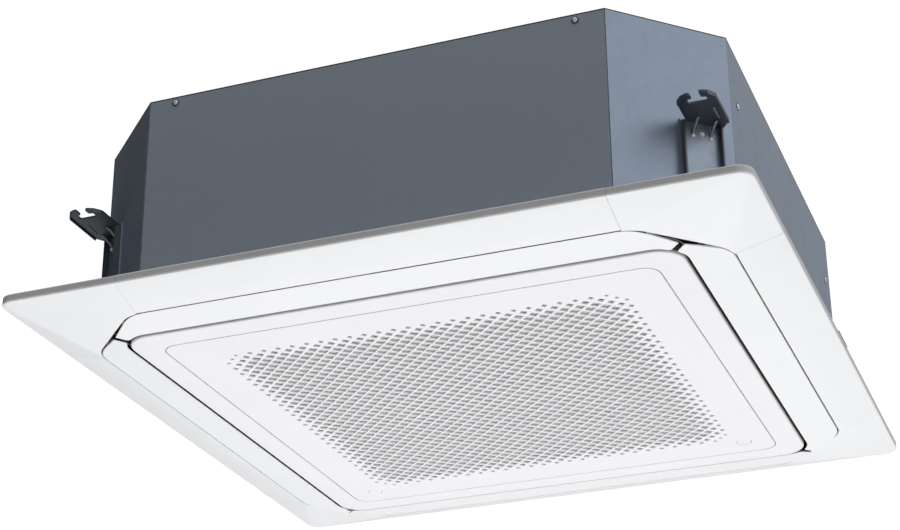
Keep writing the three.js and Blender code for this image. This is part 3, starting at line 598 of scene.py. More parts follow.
def make_grille():
    g = Build()
    index = {}

    def vert(x, y, z):
        key = (round(x, 3), round(y, 3), round(z, 3))
        if key not in index:
            index[key] = len(g.v)
            g.v.append((x, y, z))
        return index[key]

    def face(*ids):
        if len(set(ids)) > 2:
            g.f.append(tuple(ids))
            g.m.append(0)

    dirs = [(1, 0), (0, 1), (-1, 0), (0, -1)]
    for a in range(-27, 28):
        for b in range(-27, 28):
            if (a + b) % 2:
                continue
            cx, cy = a * PITCH, b * PITCH
            h = hole_half(a, b)
            out_f = [vert(cx + dx * PITCH, cy + dy * PITCH, FACE) for dx, dy in dirs]
            out_b = [vert(cx + dx * PITCH, cy + dy * PITCH, BACK) for dx, dy in dirs]
            if not h:
                face(*reversed(out_f))
                face(*out_b)
                continue
            rings = [(h + 0.3, FACE), (h + 0.09, FACE + 0.09), (h, FACE + 0.3), (h - 0.05, BACK)]
            ids = [[vert(cx + dx * r, cy + dy * r, z) for dx, dy in dirs] for r, z in rings]
            for i in range(4):
                j = (i + 1) % 4
                face(out_f[j], out_f[i], ids[0][i], ids[0][j])
                for q in range(3):
                    face(ids[q][j], ids[q][i], ids[q + 1][i], ids[q + 1][j])
                face(ids[3][j], ids[3][i], out_b[i], out_b[j])
    # triangles that square off the field's edge
    edge = []
    for k in range(-27, 28, 2):
        edge.append(k * PITCH)
    for q in range(4):
        for i in range(len(edge) - 1):
            t = [turn(p, q) for p in ((FIELD, edge[i]), (FIELD, edge[i + 1]), (FIELD - PITCH, (edge[i] + edge[i + 1]) / 2))]
            face(*[vert(x, y, FACE) for x, y in reversed(t)])
            face(*[vert(x, y, BACK) for x, y in t])
        t = [turn(p, q) for p in ((FIELD, edge[-1]), (FIELD, FIELD), (edge[-1], FIELD))]
        face(*[vert(x, y, FACE) for x, y in reversed(t)])
        face(*[vert(x, y, BACK) for x, y in t])
    square = fourfold([(FIELD, y) for y in edge] + [(FIELD, FIELD)])
    # the plate round the field
    LX, LY = 285, 286
    lat = [circle(LX, LY, 11.0, 40), circle(-LX, LY, 11.0, 40)]
    lat_b = [circle(LX, LY, 10.7, 40), circle(-LX, LY, 10.7, 40)]
    inner = rounded(325.0, 21.0, 12)
    for loops, z, flip in (([inner, square] + lat, FACE, True), ([rounded(359.5, 33.0, 12), square] + lat_b, BACK, False)):
        tris, pts, _ = cdt(loops)
        for t in tris:
            ids = [vert(pts[i][0], pts[i][1], z) for i in (reversed(t) if flip else t)]
            face(*ids)
    # latch holes
    for s in (1, -1):
        rows = [at(FACE, circle(s * LX, LY, 11.0, 40)), at(FACE + 0.3, circle(s * LX, LY, 10.7, 40)), at(BACK, circle(s * LX, LY, 10.7, 40))]
        for k in range(2):
            for i in range(40):
                j = (i + 1) % 40
                face(vert(*rows[k][i]), vert(*rows[k + 1][i]), vert(*rows[k + 1][j]), vert(*rows[k][j]))
    # groove, outer band and turned-up edge
    prof = [(325.0, 21.0, FACE), (325.3, 21.3, FACE + 0.3), (325.35, 21.35, FACE + 1.3), (326.65, 22.65, FACE + 1.3), (326.7, 22.7, FACE + 0.3), (327.0, 23.0, FACE), (343, 28.5, FACE)]
    for i in range(9):
        t = math.pi / 2 * i / 8
        prof.append((359.2 + 2.8 * math.sin(t), 32.7 + 2.8 * math.sin(t), FACE + 2.8 - 2.8 * math.cos(t)))
    prof += [(362, 35.5, FACE + 5.2), (362, 35.5, -19.5), (361.5, 35.0, -19.0), (360.0, 33.5, -19.0), (359.5, 33.0, -19.5), (359.5, 33.0, BACK)]
    rows = [at(z, rounded(h, r, 12)) for h, r, z in prof]
    for k in range(len(rows) - 1):
        n = len(rows[k])
        for i in range(n):
            j = (i + 1) % n
            face(vert(*rows[k][i]), vert(*rows[k][j]), vert(*rows[k + 1][j]), vert(*rows[k + 1][i]))
            # painted shade: the groove's faces take the darker grey
            if 1 <= k <= 3:
                g.m[-1] = 1
            # painted shade: the grille's outer side wall is made near black
            elif k == 16:
                g.m[-1] = 2
    o = g.made("grille_plate", "grille", "panel_plastic", [GRILLE, GROOVE_SHADE, FLANK_SHADE], ["intake_grille"], smooth=38)
    # hinge ears and stiffening ribs on the back
    e = Build()
    for x in (200, -200):
        for a, b in ((-7, -3.5), (3.5, 7)):
            prof = [(-352.5, BACK + 0.05), (-342.5, BACK + 0.05), (-343.2, -24.5), (-344.6, -21.9), (-348, -20.8), (-351.4, -21.9), (-352.6, -24.5)]
            n = len(prof)
            hole = [(-348 + 2.6 * math.cos(2 * math.pi * i / 14), -25 + 2.6 * math.sin(2 * math.pi * i / 14)) for i in range(14)]
            tris, pts, _ = cdt([prof, hole])
            vs = [(x + a, p[0], p[1]) for p in pts] + [(x + b, p[0], p[1]) for p in pts]
            m = len(pts)
            fs = [tuple(t) for t in tris] + [tuple(m + i for i in reversed(t)) for t in tris]
            fs += [(i, (i + 1) % n, m + (i + 1) % n, m + i) for i in range(n)]
            fs += [(n + i, n + (i + 1) % 14, m + n + (i + 1) % 14, m + n + i) for i in range(14)]
            e.add(vs, fs)
    for t in (-310, -296, 296, 310):
        if abs(t) < 300:
            e.box(t - 0.7, t + 0.7, -318, 262, BACK + 0.05, BACK + 3)
            e.box(-262, 262, t - 0.7, t + 0.7, BACK + 0.05, BACK + 3) if t < 0 else None
        else:
            e.box(t - 0.7, t + 0.7, -330, 330, BACK + 0.05, BACK + 4)
    e.box(-262, 262, 309.3, 310.7, BACK + 0.05, BACK + 4)
    e.made("grille_ears", "grille", "panel_plastic", GRILLE, bevel=0.35, segs=2)
    return o


make_grille()


def make_latch(x, name, body):
    b = Build()
    z = FACE
    b.lathe([(0, z + 0.35), (4, z + 0.25), (9.0, z), (9.6, z + 0.06), (9.95, z + 0.4), (10, z + 2.9), (12.4, z + 2.95), (12.6, z + 3.2), (12.6, z + 4.3), (12.3, z + 4.5), (4, z + 4.5), (4, -15.2), (3.4, -14.5), (0, -14.5)], 48, (x, 286, 0), closed=False)
    b.made("push_" + name, body, "panel_plastic", GRILLE, [name], smooth=40)


make_latch(285, "grille_latch_right", "latch_right")
make_latch(-285, "grille_latch_left", "latch_left")


def make_filter():
    f = Build()
    F = 272.6
    z0 = -30.8
    f.box(-F + 2, F - 2, -F + 2, F - 2, z0 + 0.25, z0 + 0.75, 1)
    o = f.made("filter_net", "filter", "filter_plastic", [NET, NET], ["air_filter"], smooth=30)
    b = Build()
    rows = []
    for h, z in ((F, z0 + 0.6), (F, z0 + 5.4), (F - 0.6, z0 + 6), (F - 7.4, z0 + 6), (F - 8, z0 + 5.4), (F - 8, z0 + 0.6), (F - 7.4, z0), (F - 0.6, z0)):
        rows.append(at(z, rounded(h, max(1.5, 12 - (F - h)), 6)))
    b.loft(rows, close=True)
    for t in (-90, 90):
        b.box(t - 2, t + 2, -F + 5, F - 5, z0 + 0.05, z0 + 5)
        b.box(-F + 5, F - 5, t - 2, t + 2, z0 + 0.05, z0 + 5)
    for t in (-226, -181, -136, -45, 0, 45, 136, 181, 226):
        b.box(t - 0.6, t + 0.6, -F + 5, F - 5, z0 + 0.05, z0 + 2.2)
        b.box(-F + 5, F - 5, t - 0.6, t + 0.6, z0 + 0.05, z0 + 2.2)
    b.made("filter_frame_bars", "filter", "filter_plastic", NETFRAME, bevel=0.3, segs=2)


make_filter()

# -------------------------------------------------------------------- louvres
V_OUT, V_IN, V_R = 415.3, 366.7, 40.2
SLOPE = 0.1029


def vane_outline():
    """Plan of the back louvre: outer edge, cut corners, mitres, inner edge."""
    out = arc45(V_OUT, 736.5 - V_OUT, 48, 8)
    right = [(y, x) for x, y in reversed(out)]  # from the chamfer round to the outer edge, x falling
    tip = [(364.6, 370.4)]
    inner_line = [(353.6, 359.4)]
    # inner edge: follows a 40.2 radius into the corner until y = 359.3
    c = V_IN - V_R
    arc = []
    a1 = math.acos((359.3 - c) / V_R)
    for i in range(9):
        a = a1 * (1 - i / 8)
        arc.append((c + V_R * math.sin(a), c + V_R * math.cos(a)))
    # arc starts where y = 359.3
    half = [(0.0, V_OUT)]
    for i in range(9):
        a = math.pi / 4 * i / 8
        t = 48 * math.tan(math.pi / 8)
        half.append(((736.5 - V_OUT) - t + 48 * math.sin(a), V_OUT - 48 + 48 * math.cos(a)))
    half += tip + inner_line + arc + [(0.0, V_IN)]
    left = [(-x, y) for x, y in reversed(half) if abs(x) > 1e-9]
    return half + left


def make_vane(k, name, body):
    b = Build()
    zb = lambda x, y: -27 - (V_OUT - y) * SLOPE
    o1 = vane_outline()
    b.prism(o1, zb, lambda x, y: zb(x, y) + 1.1 + (y - 359.4) * 2.4 / (V_OUT - 359.4))
    n = len(o1)
    for i in range(n):
        y = (b.v[b.f[i][0]][1] + b.v[b.f[i][1]][1]) / 2
        x = abs(b.v[b.f[i][0]][0] + b.v[b.f[i][1]][0]) / 2
        # painted shade: the front louvre's outer flank, facing away from the light, is made near black
        if name == "front" and x + y - V_OUT > -12 and y > 380 and x < 347:
            b.m[i] = 1
    b = turned(b, k)
    b.made("louvre_" + name, body, "panel_plastic", [WHITE, FLANK_SHADE], ["vane_" + name], bevel=0.45, segs=3, smooth=40)
    # ears, pins and a stiffening rib above the blade
    e = Build()
    for d in (1, -1):
        x0, x1 = sorted((332 * d, 336 * d))
        prof = [(387.6, -27.2), (396.4, -26.4), (396.3, -20), (395.2, -17.2), (392, -16), (388.8, -17.2), (387.7, -20)]
        n = len(prof)
        vs = [(x0, y, z) for y, z in prof] + [(x1, y, z) for y, z in prof]
        fs = [tuple(range(n - 1, -1, -1)), tuple(range(n, 2 * n))] + [(i, (i + 1) % n, n + (i + 1) % n, n + i) for i in range(n)]
        e.add(vs, fs)
        end = -345.3 if d > 0 else 357.1
        lo, hi = (end, -335.5) if d > 0 else (335.5, end)
        lo, hi = min(lo, hi), max(lo, hi)
        e.lathe([(0, lo), (1.8, lo), (2.2, lo + 0.4), (2.2, hi - 0.4), (1.8, hi), (0, hi)], 20, (0, 392, -20), "X", closed=False)
    e.prism([(-318, 399.4), (318, 399.4), (318, 400.6), (-318, 400.6)], lambda x, y: zb(x, y) + 3.4, lambda x, y: zb(x, y) + 6.2)
    turned(e, k).made("louvre_ears_" + name, body, "panel_plastic", WHITE, bevel=0.3, segs=2)


for k, n in enumerate(("back", "left", "front", "right")):
    make_vane(k, n, "louvre_" + n)

# ------------------------------------------------------------ decoration panel
P, FOOT, RING, RING_H = 475.0, -10.9, -27.0, 417.3
K1 = (FOOT - RING) / (473.2 - RING_H)
K2 = (FOOT - RING) / (2 * 473.2 - (RING_H + 322))


def smax(vals, e=0.5):
    m = max(vals)
    return m + e * math.log(sum(math.exp((v - m) / e) for v in vals)) - e * 0.0


def slope_z(x, y):
    x, y = abs(x), abs(y)
    zr = FOOT - K1 * (473.2 - x)
    zb = FOOT - K1 * (473.2 - y)
    zf = FOOT - K2 * (946.4 - x - y)
    return smax((zr, zb, zf), 0.35)


RT = 2


def strip_profile():
    """Section of a side strip: (outward, z), from the rim's top round the skin and duct wall."""
    p = [(P - 0.3, 0), (P, -0.3), (P, -1.5), (P, -8.2)]
    for i in range(1, 6):
        a = math.radians(16 + (90 - 16) * (1 - i / 5))
        p.append((P - 1.9 + 1.9 * math.sin(a), -9.1 - 1.9 * math.cos(a)))
    p += [(460, FOOT - K1 * 13.2), (440, FOOT - K1 * 33.2)]
    p += [(RING_H + 0.9, FOOT - K1 * (473.2 - RING_H - 0.9)), (RING_H + 0.35, RING + 0.22), (RING_H + 0.05, RING + 0.75), (RING_H, -25)]
    p += [(RING_H, -21.5), (RING_H, 11.7), (RING_H + 0.3, 12), (RING_H + 2.7, 12), (RING_H + 3, 11.7), (RING_H + 3, -23.2)]
    p += [(470.9, -8.9), (472.0, -7.8), (472.0, -0.3), (472.3, 0)]
    return p


def make_frame():
    prof = strip_profile()
    n = len(prof)
    out = Build()
    for k in range(4):
        b = Build()
        rows = [[(x, y, z) for y, z in prof] for x in [-309.8 + 619.6 * i / 8 for i in range(9)]]
        b.loft(rows, 0, True, True)
        nf = len(b.f)
        for q in range(nf - 2):
            i = q % n
            # the rim's top rows keep near white; the next row, the rim's side, takes the painted-shade grey
            if i < RT:
                b.m[q] = 2
            elif i == RT:
                b.m[q] = 1
            # painted shade: the duct wall face is made near black
            elif abs(prof[i][0] - RING_H) < 0.01 and prof[i][1] > -22 and prof[(i + 1) % n][1] < 11.8:
                b.m[q] = 3
        t = turned(b, k)
        base = len(out.v)
        out.v += t.v
        out.f += [tuple(i + base for i in f) for f in t.f]
        out.m += b.m
    out.made("panel_strips", "housing", "panel_plastic", [WHITE, RIM_SHADE, RIMTOP, AIRWAY_SHADE], ["panel_frame"], smooth=30)
    # duct walls round the corners, above the covers, made near black as painted shade
    w = Build()
    for k in range(4):
        a = arc45(RING_H, 335, 50, 8)
        path = [(RING_H, 309.9)] + [p for p in a if p[1] > 310] + [(y, x) for x, y in reversed(a) if y > 310] + [(309.9, RING_H)]
        inn, outr = [], []
        for i, p in enumerate(path):
            q0, q1 = Vector(path[max(i - 1, 0)]), Vector(path[min(i + 1, len(path) - 1)])
            d = (q1 - q0).normalized()
            nrm = Vector((d.y, -d.x))
            if i == 0:
                nrm = Vector((1, 0))
            if i == len(path) - 1:
                nrm = Vector((0, 1))
            inn.append(p)
            outr.append((p[0] + nrm.x * 2.8, p[1] + nrm.y * 2.8))
        b = Build()
        b.prism(inn + outr[::-1], -17.8, 12)
        b = turned(b, k)
        w.add(b.v, b.f)
    w.made("duct_corner_walls", "housing", "panel_plastic", AIRWAY_SHADE, bevel=0.3, segs=2)
    # flanges behind the corner covers
    c = Build()
    for k in range(4):
        h = P - 3.4
        outer = [(h, 310.5)] + [(h - 16 + 16 * math.cos(math.pi / 2 * i / 8), h - 16 + 16 * math.sin(math.pi / 2 * i / 8)) for i in range(9)] + [(310.5, h)]
        a = arc45(RING_H + 2.9, 336.2, 50, 8)
        innr = [(310.5, RING_H + 2.9)] + [(y, x) for x, y in a if y > 310.5] + [p for p in reversed(a) if p[1] > 310.5] + [(RING_H + 2.9, 310.5)]
        b = Build()
        b.prism(outer + innr, -3, -0.1, 0, [circle(404, 404, 22, 40)])
        b = turned(b, k)
        c.add(b.v, b.f)
    c.made("corner_flanges", "housing", "panel_plastic", WHITE, bevel=0.3, segs=2)
    # inner wall, seat, lip; the inner wall is made near black as painted shade
    i = Build()
    rows = [at(z, rounded(h, r, 12)) for h, r, z in ((362.6, 36.1, -14.5), (362.9, 36.4, -14.2), (362.9, 36.4, 11.7), (362.6, 36.1, 12), (360.7, 34.2, 12), (360.4, 33.9, 11.7), (360.4, 33.9, 0.02), (360.4, 33.9, -14.2), (360.7, 34.2, -14.5))]
    i.loft(rows, 0, close=True)
    for q in range(3 * len(rows[0])):
        i.m[q] = 1
    i.prism(rounded(360.4, 33.9, 12), -3, 0, 0, [octagon(297, 60)])
    o2, o1 = octagon(299.5, 61), octagon(297, 60)
    i.prism(o2, -9, -3, 0, [o1])
    i.made("grille_seat", "housing", "panel_plastic", [WHITE, AIRWAY_SHADE], bevel=0.3, segs=2)
    # decks, bearings, hinge arms, keepers; the decks are made near black as painted shade
    d = Build()
    for k in range(4):
        b = Build()
        arcp = [p for p in arc45(RING_H, 335, 50, 8)]
        plan = [(300, RING_H)] + [(300, 363.2)] + [(p[0], p[1]) for p in rounded(362.9, 36.4, 12)[:13][::-1]] + [(363.2, 300), (RING_H, 300)] + arcp + [(y, x) for x, y in reversed(arcp)]
        plan = [p for q, p in enumerate(plan) if q == 0 or (abs(p[0] - plan[q - 1][0]) + abs(p[1] - plan[q - 1][1])) > 0.05]
        notch = [(356, 380), (375, 380), (375, 404.5), (356, 404.5)]
        b.prism(plan, 9.5, 11.9, 1)
        b = turned(b, k)
        d.add(b.v, b.f, 1)
    for k in range(4):
        b = Build()
        for sx in (1, -1):
            x0, x1 = sorted((339 * sx, 343 * sx))
            prof = [(387.4, 10), (387.4, -20), (388.6, -23.2), (392, -24.6), (395.4, -23.2), (396.6, -20), (396.6, 10)]
            hole = [(392 + 2.8 * math.cos(2 * math.pi * q / 16), -20 + 2.8 * math.sin(2 * math.pi * q / 16)) for q in range(16)]
            tris, pts, _ = cdt([prof, hole])
            m, nn = len(pts), len(prof)
            vs = [(x0, p[0], p[1]) for p in pts] + [(x1, p[0], p[1]) for p in pts]
            fs = [tuple(t) for t in tris] + [tuple(m + q for q in reversed(t)) for t in tris]
            fs += [(q, (q + 1) % nn, m + (q + 1) % nn, m + q) for q in range(nn)]
            fs += [(nn + q, nn + (q + 1) % 16, m + nn + (q + 1) % 16, m + nn + q) for q in range(16)]
            b.add(vs, fs)
        b = turned(b, k)
        d.add(b.v, b.f)
    for x in (200, -200):
        d.box(x - 2, x + 2, -340, -330, -28, -1)
        d.box(x - 2, x + 2, -351, -338, -28, -22)
        d.lathe([(0, x - 8), (1.7, x - 8), (2, x - 7.7), (2, x + 7.7), (1.7, x + 8), (0, x + 8)], 20, (0, -348, -25), "X", closed=False)
    for x in (285, -285):
        d.lathe([(6, -17), (8.6, -17), (9, -16.6), (9, -1), (6, -1), (5.6, -4)], 32, (x, 286, 0))
    d.made("frame_decks_and_bearings", "housing", "panel_plastic", [WHITE, AIRWAY_SHADE], bevel=0.3, segs=2)


make_frame()


def make_cover(k, name, body):
    """Corner cover: the rim, the two slopes and the nearly flat corner facet, as one thin moulded skin."""
    g = 310.2
    # plan curves from the seam on the +X side to the seam on the +Y side
    r = 20
    O = [(P, g + (P - r - g) * i / 12) for i in range(13)]
    O += [(P - r + r * math.cos(math.pi / 2 * i / 12), P - r + r * math.sin(math.pi / 2 * i / 12)) for i in range(1, 12)]
    O += [(y, x) for x, y in reversed(O[:13])]
    a = [p for p in arc45(RING_H, 322, 50, 24) if p[1] > g + 0.3]
    R0 = [(RING_H - 50 + math.sqrt(2500 - (g - 301.29) ** 2), g)] + a
    e = R0[-1]
    R = R0 + [(e[0] + (e[1] - e[0]) * i / 16, e[1] + (e[0] - e[1]) * i / 16) for i in range(1, 16)] + [(y, x) for x, y in reversed(R0)]

    def sample(path, n):
        L = [0.0]
        for p, q in zip(path, path[1:]):
            L.append(L[-1] + math.hypot(q[0] - p[0], q[1] - p[1]))
        out = []
        j = 0
        for i in range(n + 1):
            t = L[-1] * i / n
            while j < len(L) - 2 and L[j + 1] < t:
                j += 1
            u = (t - L[j]) / (L[j + 1] - L[j])
            out.append((path[j][0] + (path[j + 1][0] - path[j][0]) * u, path[j][1] + (path[j + 1][1] - path[j][1]) * u))
        return out

    N, M = 96, 26
    Rs = sample(R, N)
    # the outer curve is sampled so that its corner meets the facet's middle
    Os = []
    half = sample(O[: len(O) // 2 + 1], N // 2)
    Os = half + [(y, x) for x, y in reversed(half[:-1])]
    rows = []
    prof = [(0.3, -0.3), (0.0, -0.6), (0.0, -1.6), (0.0, -8.2)]
    for i in range(1, 6):
        q = math.radians(16 + 74 * (1 - i / 5))
        prof.append((1.9 - 1.9 * math.sin(q), -9.1 - 1.9 * math.cos(q)))
    for d, z in prof:
        row = []
        for (x, y) in Os:
            cx, cy = min(x, P - r), min(y, P - r)
            v = Vector((x - cx, y - cy))
            L = v.length or 1
            row.append((x - v.x / L * d if L > 1e-6 else x, y - v.y / L * d if L > 1e-6 else y, z))
        rows.append(row)
    foot = rows[-1]
    for j in range(1, M + 1):
        v = j / M
        row = []
        for (fx, fy, fz), (rx, ry) in zip(foot, Rs):
            x, y = fx + (rx - fx) * v, fy + (ry - fy) * v
            z = min(slope_z(x, y), FOOT) if v < 1 else slope_z(x, y)
            row.append((x, y, z))
        rows.append(row)
    top = rows[-1]
    # rows for a rolled edge at the outlet; they are not added to the mesh
    end = []
    for i in range(1, 4):
        q = math.pi / 2 * i / 3
        row = []
        for s, (x, y, z) in enumerate(top):
            row.append((x - 0.0 * math.sin(q), y, z + 0.5 * (1 - math.cos(q))))
        end.append(row)
    b = Build()
    n = N + 1
    vs = [p for row in rows for p in row]
    fs = []
    for j in range(len(rows) - 1):
        for i in range(n - 1):
            fs.append((j * n + i, j * n + i + 1, (j + 1) * n + i + 1, (j + 1) * n + i))
    b.add(vs, fs)
    for q in range(len(fs)):
        j = q // (n - 1)
        # the rim's top rows keep near white; the rim's side row takes the painted-shade grey
        b.m[q] = 2 if j < 2 else 1 if j == 2 else 0
    b = turned(b, k)
    o = b.made("corner_cover_skin_" + name, body, "panel_plastic", [WHITE, RIM_SHADE, RIMTOP], ["corner_cover_" + name], smooth=30)
    # outward is down and out: make the normals agree, then thicken inwards
    me = o.data
    bm = bmesh.new()
    bm.from_mesh(me)
    c = Vector(turn((400, 400), k) + (0,)) * S
    f = min(bm.faces, key=lambda q: (q.calc_center_median() - Vector((c.x, c.y, -0.02))).length)
    if f.normal.z > 0:
        bmesh.ops.reverse_faces(bm, faces=bm.faces)
    bm.to_mesh(me)
    bm.free()
    s = o.modifiers.new("Skin", "SOLIDIFY")
    s.thickness = 2.2 * S
    s.offset = -1
    s.use_even_offset = True
    bv = o.modifiers.new("Bevel", "BEVEL")
    bv.width = 0.25 * S
    bv.segments = 2
    bv.limit_method = "ANGLE"
    bv.angle_limit = math.radians(50)
    apply(o)
    shade(o, 30)
    p = Build()
    for x, y in ((338, 452), (452, 338)):
        p.lathe([(0, -15), (3.5, -15), (3.5, -5.2), (2.2, -3.6), (0, -3.6)], 24, (x, y, 0), closed=False)
    turned(p, k).made("corner_cover_posts_" + name, body, "panel_plastic", WHITE)


for k, n in enumerate(("back_right", "back_left", "front_left", "front_right")):
    make_cover(k, n, "cover_" + n)


# ------------------------------------------------------------ hanger brackets
N0 = (2 * 424 - 119) / math.sqrt(2)


def on(t, n):
    return ((N0 + n + t) / math.sqrt(2), (N0 + n - t) / math.sqrt(2))


def soften(poly, radii, n=6):
    """Round each corner of a plan outline."""
    out = []
    k = len(poly)
    for i, p in enumerate(poly):
        r = radii[i] if hasattr(radii, "__len__") else radii
        a, c = Vector(poly[i - 1]), Vector(poly[(i + 1) % k])
        b = Vector(p)
        u1, u2_ = (a - b), (c - b)
        half = u1.angle(u2_, 0) / 2
        if r <= 0 or half < 0.05 or half > 1.5:
            out.append(tuple(b))
            continue
        d = min(r / math.tan(half), u1.length * 0.48, u2_.length * 0.48)
        p0, p1 = b + u1.normalized() * d, b + u2_.normalized() * d
        for q in range(n + 1):
            w = q / n
            out.append(tuple(p0 * (1 - w) ** 2 + b * 2 * w * (1 - w) + p1 * w ** 2))
    return out


PLATE = [on(16.2, 3.0), on(63.3, 3.0), (415.6, 319.4), (427.0, 336.0), (426.8, 400.6), (420.4, 411.4), (409.4, 415.8), (409.4, 401.6), (415.4, 401.6), (415.4, 390.6), (392.1, 390.6), (392.1, 401.6), (398.1, 401.6), (398.1, 415.0), (386.2, 409.2), (379.1, 399.8), (379.1, 356.8)]
PLATE_R = [0, 0, 2, 5, 9, 9, 2.5, 2.5, 2.5, 2.5, 2.5, 2.5, 2.5, 4, 9, 9, 2]


def make_bracket(sx, sy, name):
    """Pressed hanger: channel on the corner sheet, slotted plate with turned-down edges."""
    low, top = 134.6, 137.4
    b = Build()
    out = soften(PLATE, PLATE_R)
    # painted shade: the plate takes the dark copy of the zinc
    b.prism(out, low, top, 1)
    # turned-down outer edge of the plate, both wings
    def lip(path, h, th):
        inner = []
        for i, p in enumerate(path):
            q0, q1 = Vector(path[max(i - 1, 0)]), Vector(path[min(i + 1, len(path) - 1)])
            d = (q1 - q0).normalized()
            inner.append((p[0] - d.y * th, p[1] + d.x * th))
        b.prism(list(path) + inner[::-1], low - h, low + 0.3, 1)
    right = soften(PLATE, PLATE_R)
    ra = [p for p in right if p[0] > 415.2 and p[1] < 412 and p[1] > 325]
    lip([p for p in ra if not (p[0] < 416 and p[1] > 380)], 2.6, 1.6)
    la = [p for p in right if p[0] < 392 and 358 < p[1] < 412]
    lip(la, 2.6, 1.6)
    # channel: web with pierced holes, outward flanges with a folded root
    def wall(t0, t1, na, nb, z0, z1, mi):
        b.prism([on(t0, na), on(t1, na), on(t1, nb), on(t0, nb)], z0, z1, mi)
    holes = [[(25.5 + 2.3 * math.cos(q), 116.5 + 2.3 * math.sin(q)) for q in [math.pi * 2 * i / 20 for i in range(20)]],
             [(50.0 + 2.3 * math.cos(q), 116.5 + 2.3 * math.sin(q)) for q in [math.pi * 2 * i / 20 for i in range(20)]],
             [(39.0 + 4.6 * math.cos(q), 122.0 + 4.6 * math.sin(q)) for q in [math.pi * 2 * i / 28 for i in range(28)]]]
    outline = [(9.2, 22.2), (63.3, 22.2), (63.3, 136.8), (9.2, 136.8)]
    tris, pts, _ = cdt([outline] + holes)
    m = len(pts)
    vs = [on(p[0], 0.45) + (p[1],) for p in pts] + [on(p[0], 3.3) + (p[1],) for p in pts]
    fs = [tuple(t) for t in tris] + [tuple(m + i for i in reversed(t)) for t in tris]
    k = 0
    for lp in [outline] + holes:
        n = len(lp)
        fs += [(k + i, k + (i + 1) % n, m + k + (i + 1) % n, m + k + i) for i in range(n)]
        k += n
    b.add(vs, fs, 0)
    # painted shade: the flanges take the dark copy of the zinc
    for t0, t1, zt in ((9.2, 11.4, 132.6), (61.1, 63.3, 134.5)):
        prof = [(3.1, 22.2), (11.3, 25.5), (11.3, zt - 3.5), (8.5, zt), (3.1, zt)] if t0 < 20 else [(3.1, 22.2), (11.3, 25.5), (11.3, zt), (3.1, zt)]
        n = len(prof)
        vs = [on(t0, q) + (z,) for q, z in prof] + [on(t1, q) + (z,) for q, z in prof]
        b.add(vs, [tuple(range(n - 1, -1, -1)), tuple(range(n, 2 * n))] + [(i, (i + 1) % n, n + (i + 1) % n, n + i) for i in range(n)], 1)
    # pressed ribs: half-round in section, from the web over the fold to the plate
    for t in (25.5, 50.0):
        path = [(3.0, 117.5), (3.6, 119.0), (4.2, 121.0), (6.0, 123.6), (13.5, 131.0), (16.5, 133.4), (19.0, 134.8)]
        rows = []
        for i, (q, z) in enumerate(path):
            d = Vector(path[min(i + 1, len(path) - 1)]) - Vector(path[max(i - 1, 0)])
            d.normalize()
            nn = Vector((d.y, -d.x))
            w = 1.9 if 0 < i < len(path) - 1 else 1.3
            row = []
            for j in range(9):
                a_ = math.pi * j / 8
                hh = 2.1 * math.sin(a_)
                row.append(on(t - w * math.cos(a_), q + nn.x * hh) + (z + nn.y * hh,))
            for j in range(1, 4):
                row.append(on(t + w * (1 - j / 2), q - nn.x * 1.2) + (z - nn.y * 1.2,))
            rows.append(row)
        # painted highlight: the ribs take the lighter zinc
        b.loft(rows, 2, True, True)
    # bead on the right wing
    rows = []
    for i in range(9):
        y = 346 + 28 * i / 8
        w = 1.9 * math.sqrt(max(0.05, 1 - (abs(i - 4) / 4.3) ** 4))
        rows.append([(416.8 + w * math.cos(math.pi * j / 8), y, low + 0.2 - 1.6 * (w / 1.9) * math.sin(math.pi * j / 8)) for j in range(9)] + [(416.8, y, low + 0.8)])
    # painted highlight: the bead takes the lighter zinc
    b.loft(rows, 2, True, True)
    # fixing screw and rivets
    q = (1 / math.sqrt(2), 1 / math.sqrt(2), 0)
    # painted highlight: the fixing screw head takes the near-white rivet tone
    screw(b, on(40.2, 0.5) + (122.4,), q, 3.0, 3)
    for t in (25.5, 50.0):
        p = Vector(on(t, 0.5) + (116.5,))
        tx = Vector((1, -1, 0)).normalized()
        rows = []
        for rr, h in ((2.25, 0), (2.25, 2.4), (2.7, 3.1), (2.6, 3.9), (2.0, 4.7), (1.1, 5.1), (0.2, 5.2)):
            rows.append([tuple(p + (tx * math.cos(a_) + Vector((0, 0, 1)) * math.sin(a_)) * rr + Vector(q) * h) for a_ in [2 * math.pi * i / 20 for i in range(20)]])
        # painted highlight: the rivet domes take the near-white tone
        b.loft(rows, 3, True, True)
    b.v = [(x * sx, y * sy, z) for x, y, z in b.v]
    b.made("bracket_" + name[15:], "housing", "bracket_steel", [STRAP, BRACKET_SHADED, RIB_LIT, RIVET_LIT], [name], bevel=0.45, segs=2, smooth=40, angle=40)


